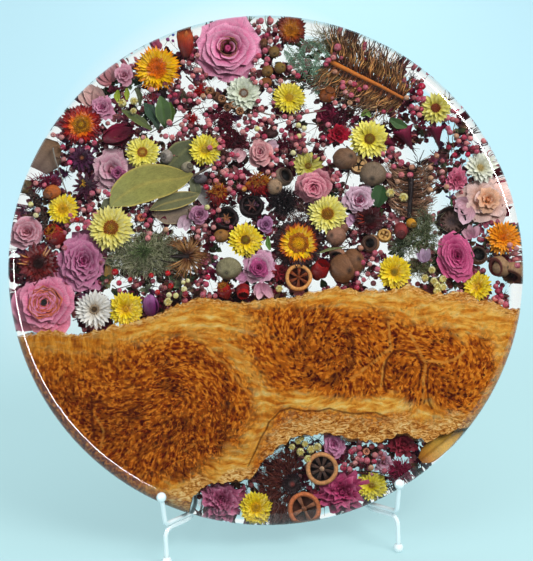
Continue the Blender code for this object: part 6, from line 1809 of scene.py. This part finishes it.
# --- small pieces behind them
GAPS = [(106, 81, 4), (104, 120, 6), (117, 149, 6), (133, 94, 4), (146, 97, 5), (152, 135, 4), (72, 182, 6), (41, 174, 5), (53, 140, 5), (175, 43, 9), (187, 81, 7), (219, 84, 6), (208, 105, 6),
        (195, 113, 4), (177, 118, 8), (166, 134, 6), (205, 66, 5), (197, 32, 4), (240, 128, 7), (264, 115, 4), (280, 125, 6), (251, 134, 4), (279, 141, 5), (195, 170, 5), (251, 168, 5),
        (264, 100, 5), (267, 96, 4), (311, 96, 6), (312, 109, 6), (310, 118, 6), (310, 131, 7), (329, 153, 8), (287, 186, 7), (277, 60, 5), (260, 67, 4), (259, 31, 4), (267, 20, 4), (318, 26, 15),
        (286, 53, 5), (347, 144, 5), (334, 151, 6), (347, 180, 6), (354, 184, 6), (357, 112, 6), (381, 117, 4), (406, 158, 7), (419, 153, 7), (433, 148, 7), (447, 137, 6), (468, 158, 6),
        (452, 126, 4), (429, 89, 5), (409, 125, 3), (386, 168, 4), (465, 187, 4), (376, 47, 6), (392, 56, 6), (362, 42, 5), (186, 195, 4), (298, 179, 4), (243, 215, 8), (266, 210, 6), (294, 216, 5),
        (228, 253, 8), (238, 260, 5), (268, 247, 5), (313, 284, 7), (327, 278, 7), (236, 282, 4), (210, 288, 7), (285, 291, 3), (345, 250, 4), (182, 229, 7), (441, 202, 10), (437, 238, 6),
        (384, 248, 8), (408, 255, 6), (417, 279, 7), (368, 282, 6), (380, 283, 4), (483, 263, 7), (474, 236, 4), (496, 278, 7), (514, 296, 8), (490, 297, 5), (454, 291, 4), (508, 218, 5),
        (71, 185, 7), (23, 201, 4), (79, 232, 8), (105, 198, 5), (56, 257, 4), (119, 262, 5), (120, 285, 7), (72, 330, 8), (59, 331, 5), (120, 325, 5), (108, 292, 4), (182, 193, 6), (182, 228, 7),
        (154, 225, 5), (42, 195, 3), (24, 327, 5), (500, 500, 1), (402, 457, 6), (376, 468, 5), (355, 474, 4), (338, 471, 4), (193, 502, 6), (327, 511, 5)]
rs = np.random.RandomState(2024)
spots = []
for gy in np.arange(22, 335, 5.1):
    for gx in np.arange(16, 522, 5.9):
        x, y = gx + rs.uniform(-3, 3), gy + rs.uniform(-2.6, 2.6)
        spots.append((x, y))
for gy in np.arange(442, 520, 5.6):
    for gx in np.arange(205, 425, 6.4):
        spots.append((gx + rs.uniform(-3, 3), gy + rs.uniform(-2.6, 2.6)))
# a row of spots just above the wood's upper edge, filled with small mostly dark pieces that also stand in for the shade
# along that edge
for u in np.linspace(-0.215, 0.222, 150):
    v = float(upper_v(np.array([u]), amp=0)[0]) + rs.uniform(0.003, 0.007)
    gx, gy = pix(u, v, 0.02)
    spots.append((float(gx), float(gy)))
keep = []
for x, y in spots:
    if any((x - a) ** 2 + (y - b) ** 2 < (r + 2.6) ** 2 for a, b, r in GAPS):
        continue
    d = rs.uniform(0.016, 0.028)
    p = at(x, y, d)
    if math.hypot(p[0], p[1]) > 0.243:
        continue
    up_ok = p[1] > float(upper_v(np.array([p[0]]), amp=0)[0]) + 0.002
    low_ok = p[1] < float(lower_v(np.array([p[0]]), amp=0)[0]) - 0.004 and p[0] > -0.09
    if up_ok or low_ok:
        keep.append((x, y, d, p))
# colour families by part of the picture
FAMILIES = {
    "dark": [((24, 10, 14), (60, 26, 34)), ((34, 18, 14), (74, 46, 36)), ((30, 8, 14), (84, 16, 34))],
    "burgundy": [((60, 8, 26), (120, 22, 54)), ((50, 6, 20), (96, 14, 36)), ((84, 14, 40), (150, 40, 76))],
    "brown": [((50, 30, 22), (110, 76, 54)), ((70, 46, 34), (136, 104, 80)), ((40, 24, 20), (84, 54, 42))],
    "green": [((34, 42, 26), (76, 88, 50)), ((60, 70, 50), (120, 128, 96)), ((30, 44, 30), (60, 80, 48))],
    "pink": [((130, 50, 74), (186, 106, 124)), ((150, 76, 90), (200, 136, 136)), ((124, 42, 72), (180, 92, 118))],
    "purple": [((50, 20, 44), (96, 46, 84)), ((80, 40, 70), (140, 90, 124))]}


def family(x, y, q):
    if y > 430:
        return "brown" if q < 0.35 else "burgundy" if q < 0.6 else "pink" if q < 0.85 else "purple"
    if x > 95 and x < 195 and 225 < y < 290:
        return "green" if q < 0.6 else "brown"
    if 280 < x < 340 and y < 95:
        return "green" if q < 0.5 else "pink" if q < 0.75 else "brown"
    if x < 140 and y < 120:
        return "pink" if q < 0.4 else "green" if q < 0.7 else "burgundy"
    if x > 390 and y > 215:
        return "green" if q < 0.35 else "brown" if q < 0.65 else "burgundy" if q < 0.8 else "pink"
    if x < 110 and y > 120:
        return "purple" if q < 0.3 else "burgundy" if q < 0.65 else "pink" if q < 0.85 else "brown"
    return "burgundy" if q < 0.34 else "dark" if q < 0.54 else "brown" if q < 0.70 else "pink" if q < 0.86 else "purple" if q < 0.93 else "green"


cells = {}
for x, y, d, p in keep:
    cells.setdefault((int(x // 85), int(y // 75)), []).append((x, y, d, p))
for key, members in sorted(cells.items()):
    petal_it, berry_it, tuft_it = (Item(seed=key[0] * 50 + key[1] + k) for k in (1, 700, 1400))
    for x, y, d, p in members:
        fam = FAMILIES[family(x, y, rs.uniform())]
        lo, hi = fam[rs.randint(len(fam))]
        kind = rs.uniform()
        if kind < 0.44:
            # crumpled petals
            m = rs.randint(3, 6)
            q = petal_it.rng.uniform(0, TAU, m)
            petal_it.rot = turn(petal_it.rng.normal(size=3) + (0, 0, 0.3), petal_it.rng.uniform(0, 1.0))
            petal_it.o = p
            petal_it.petals(q, 0.0003, petal_it.rng.uniform(0.0052, 0.0090, m), petal_it.rng.uniform(0.0052, 0.0080, m), petal_it.rng.uniform(-0.2, 0.9, m), petal_it.rng.uniform(-0.8, 0.8, m), 0.4, 0.0,
                            [(0, lo), (1, hi)], nu=4, nv=3, tip=0.4, wave=0.35, base=0.5)
        elif kind < 0.74:
            m = rs.randint(2, 5)
            off = rs.normal(0, 0.0030, (m, 3)) * (1, 1, 0.8)
            cols = np.array([lin(PINKS[rs.randint(len(PINKS))]) * rs.uniform(0.45, 0.9) for _ in range(m)])
            berry_it.balls(p + off, rs.uniform(0.0021, 0.0031, m), cols, small=True)
            berry_it.hairs(np.tile(p + (0, 0, -0.003), (m, 1)), off + (0, 0, 0.003), 0.006, 0.0003, (0, 0, 0), [(0, (70, 44, 36)), (1, (110, 60, 50))], seg=1)
        else:
            n_h = rs.randint(12, 18)
            q = rs.normal(size=(n_h, 3)) * (1, 1, 0.5)
            tuft_it.hairs(np.tile(p, (n_h, 1)) + rs.normal(0, 0.0008, (n_h, 3)), q, rs.uniform(0.004, 0.0075, n_h), 0.00046, rs.normal(0, 0.4, (n_h, 3)) * (1, 1, 0.5), [(0, lo), (1, hi)], seg=1)
    for it, nm, mt in ((petal_it, "small_petals", PETAL), (berry_it, "back_berries", BERRY), (tuft_it, "small_tufts", HAIR)):
        it.rot, it.o = np.eye(3), np.zeros(3)
        if it.v:
            it.finish(called(nm), mt)
print("specimens", COUNT)

# ---------------------------------------------------------------- stage and light
def sweep():
    """Seamless pale backdrop: a floor that curves up into a wall."""
    prof = [(-2.2, 0.0), (-1.0, 0.0), (0.0, 0.0), (0.25, 0.0)]
    prof += [(0.25 + 1.3 * math.sin(a), 1.3 - 1.3 * math.cos(a)) for a in np.linspace(0.0, math.pi / 2, 33)[1:]]
    prof += [(1.55, 2.4), (1.55, 3.6)]
    xs = np.linspace(-3.2, 3.2, 33)
    v = [(x, y, z) for y, z in prof for x in xs]
    w = len(xs)
    f = [(i * w + j, i * w + j + 1, (i + 1) * w + j + 1, (i + 1) * w + j) for i in range(len(prof) - 1) for j in range(w - 1)]
    mesh = bpy.data.meshes.new("backdrop")
    mesh.from_pydata(v, [], f)
    mesh.polygons.foreach_set("use_smooth", [True] * len(f))
    n = Nodes("backdrop_pale")
    sep = n.node("ShaderNodeSeparateXYZ")
    n.link(n.obj(), sep.inputs[0])
    z = sep.outputs["Z"]
    c = n.ramp(n.math("DIVIDE", z, 1.8, clamp=True), [(0.0, srgb(*PALE["floor"])), (0.10, srgb(*PALE["wall"]))])
    # soft glow on the wall behind the disc
    d = n.vmath("DISTANCE", n.mapped(scale=(1.0, 0.0, 1.0)), (GLOW[0], 0.0, GLOW[1]))
    g = n.math("SUBTRACT", 1.0, n.math("DIVIDE", n.math("SUBTRACT", d, GLOW[2]), GLOW[3]), clamp=True)
    c = n.mix(n.math("MULTIPLY", g, n.math("MULTIPLY_ADD", z, 12.0, -0.3, clamp=True)), c, srgb(*PALE["glow"]))
    half = n.mix(1.0, c, (0.42, 0.42, 0.42), "MULTIPLY")
    n.link(half, n.bsdf.inputs["Base Color"])
    n.link(c, n.bsdf.inputs["Emission Color"])
    n.bsdf.inputs["Emission Strength"].default_value = EMIT
    n.set(rough=0.9, spec=0.0)
    mesh.materials.append(n.mat)
    o = bpy.data.objects.new("backdrop", mesh)
    scene.collection.objects.link(o)
    return o


PALE = {"floor": (184, 220, 224), "wall": (194, 234, 246), "glow": (238, 242, 240)}
GLOW = (0.0, 0.23, 0.33, 0.14)
EMIT = 0.62
sweep()


def area(name, where, target, size, power, colour=(1, 1, 1), glossy=True, size_y=None):
    d = bpy.data.lights.new(name, "AREA")
    d.energy = power
    d.color = colour
    d.shape = "RECTANGLE"
    d.size = size
    d.size_y = size_y or size
    o = bpy.data.objects.new(name, d)
    scene.collection.objects.link(o)
    o.location = where
    o.rotation_euler = (Vector(target) - Vector(where)).to_track_quat("-Z", "Y").to_euler()
    o.visible_glossy = glossy
    o.visible_camera = False
    o.visible_transmission = False
    return o


area("key", (0.9, -1.1, 1.5), (0, 0, 0.25), 0.9, 30, (1.0, 0.98, 0.95), glossy=False)
area("front_fill", (-0.2, -2.0, 0.9), (0, 0, 0.25), 1.6, 14, (0.95, 0.98, 1.0), glossy=False)
area("fill_left", (-1.3, -0.9, 0.9), (0, 0, 0.25), 1.0, 7, (0.9, 0.97, 1.0), glossy=False)
area("top_soft", (0.1, -0.1, 1.9), (0, 0, 0.2), 1.4, 14, (0.97, 0.99, 1.0), glossy=False)
area("back_light", (0.2, 1.2, 1.2), (0, 0, 0.3), 0.8, 5, (1, 1, 1), glossy=False)

# strips seen only as the bright lines along the rounded rim
def ribbon(name, points, width, strength):
    """A curved strip light facing the disc."""
    pts = np.array(points)
    t = np.linspace(0, len(pts) - 1, 33)
    path = np.stack([np.interp(t, range(len(pts)), pts[:, k]) for k in range(3)], -1)
    w = np.interp(t, np.linspace(0, len(pts) - 1, len(width)), width)[:, None]
    along = np.gradient(path, axis=0)
    face = np.array(tuple(MID)) - path
    side = np.cross(along, face)
    side /= np.linalg.norm(side, axis=1)[:, None]
    v = np.concatenate([path - side * w / 2, path + side * w / 2])
    k = len(path)
    mesh = bpy.data.meshes.new(name)
    mesh.from_pydata(v.tolist(), [], [(i, i + 1, k + i + 1, k + i) for i in range(k - 1)])
    n = Nodes(name)
    n.bsdf.inputs["Base Color"].default_value = (0, 0, 0, 1)
    n.bsdf.inputs["Emission Color"].default_value = (1, 1, 1, 1)
    n.bsdf.inputs["Emission Strength"].default_value = strength
    mesh.materials.append(n.mat)
    o = bpy.data.objects.new(name, mesh)
    scene.collection.objects.link(o)
    o.visible_camera = o.visible_diffuse = o.visible_transmission = o.visible_shadow = False
    return o


ribbon("rim_strip_left", [(-0.716, -0.215, 0.458), (-0.673, -0.338, 0.329), (-0.598, -0.433, 0.212), (-0.498, -0.507, 0.131), (-0.427, -0.543, 0.101), (-0.353, -0.572, 0.082),
                          (-0.279, -0.594, 0.075), (-0.223, -0.606, 0.065)], (0.10, 0.09, 0.08, 0.07, 0.06, 0.05, 0.03), 30.0)
ribbon("rim_strip_right", [(0.346, -0.495, 0.915), (0.400, -0.494, 0.890), (0.458, -0.496, 0.857), (0.500, -0.517, 0.800), (0.555, -0.530, 0.735), (0.622, -0.517, 0.684), (0.755, -0.440, 0.610)],
       (0.05, 0.15, 0.19, 0.18, 0.14, 0.08, 0.05), 30.0)

world = bpy.data.worlds.new("studio")
scene.world = world
world.use_nodes = True
world.node_tree.nodes["Background"].inputs["Color"].default_value = (0.80, 0.93, 1.0, 1.0)
world.node_tree.nodes["Background"].inputs["Strength"].default_value = 0.10

scene.view_settings.view_transform = "Standard"
scene.view_settings.look = "None"
scene.cycles.caustics_refractive = False
scene.cycles.caustics_reflective = False
scene.cycles.max_bounces = 16
scene.cycles.transmission_bounces = 12
scene.cycles.transparent_max_bounces = 8
scene.cycles.diffuse_bounces = 3
scene.cycles.glossy_bounces = 4

# ---------------------------------------------------------------- the stand
for name in ("cradle_wire", "left_leg_wire", "right_leg_wire", "hook_ball_left", "hook_ball_right",
             "foot_ball_front_left", "foot_ball_front_right", "foot_ball_rear_left", "foot_ball_rear_right"):
    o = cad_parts[name]
    o = bpy.data.objects[o] if isinstance(o, str) else o
    o.data.materials.clear()
    o.data.materials.append(WHITE)
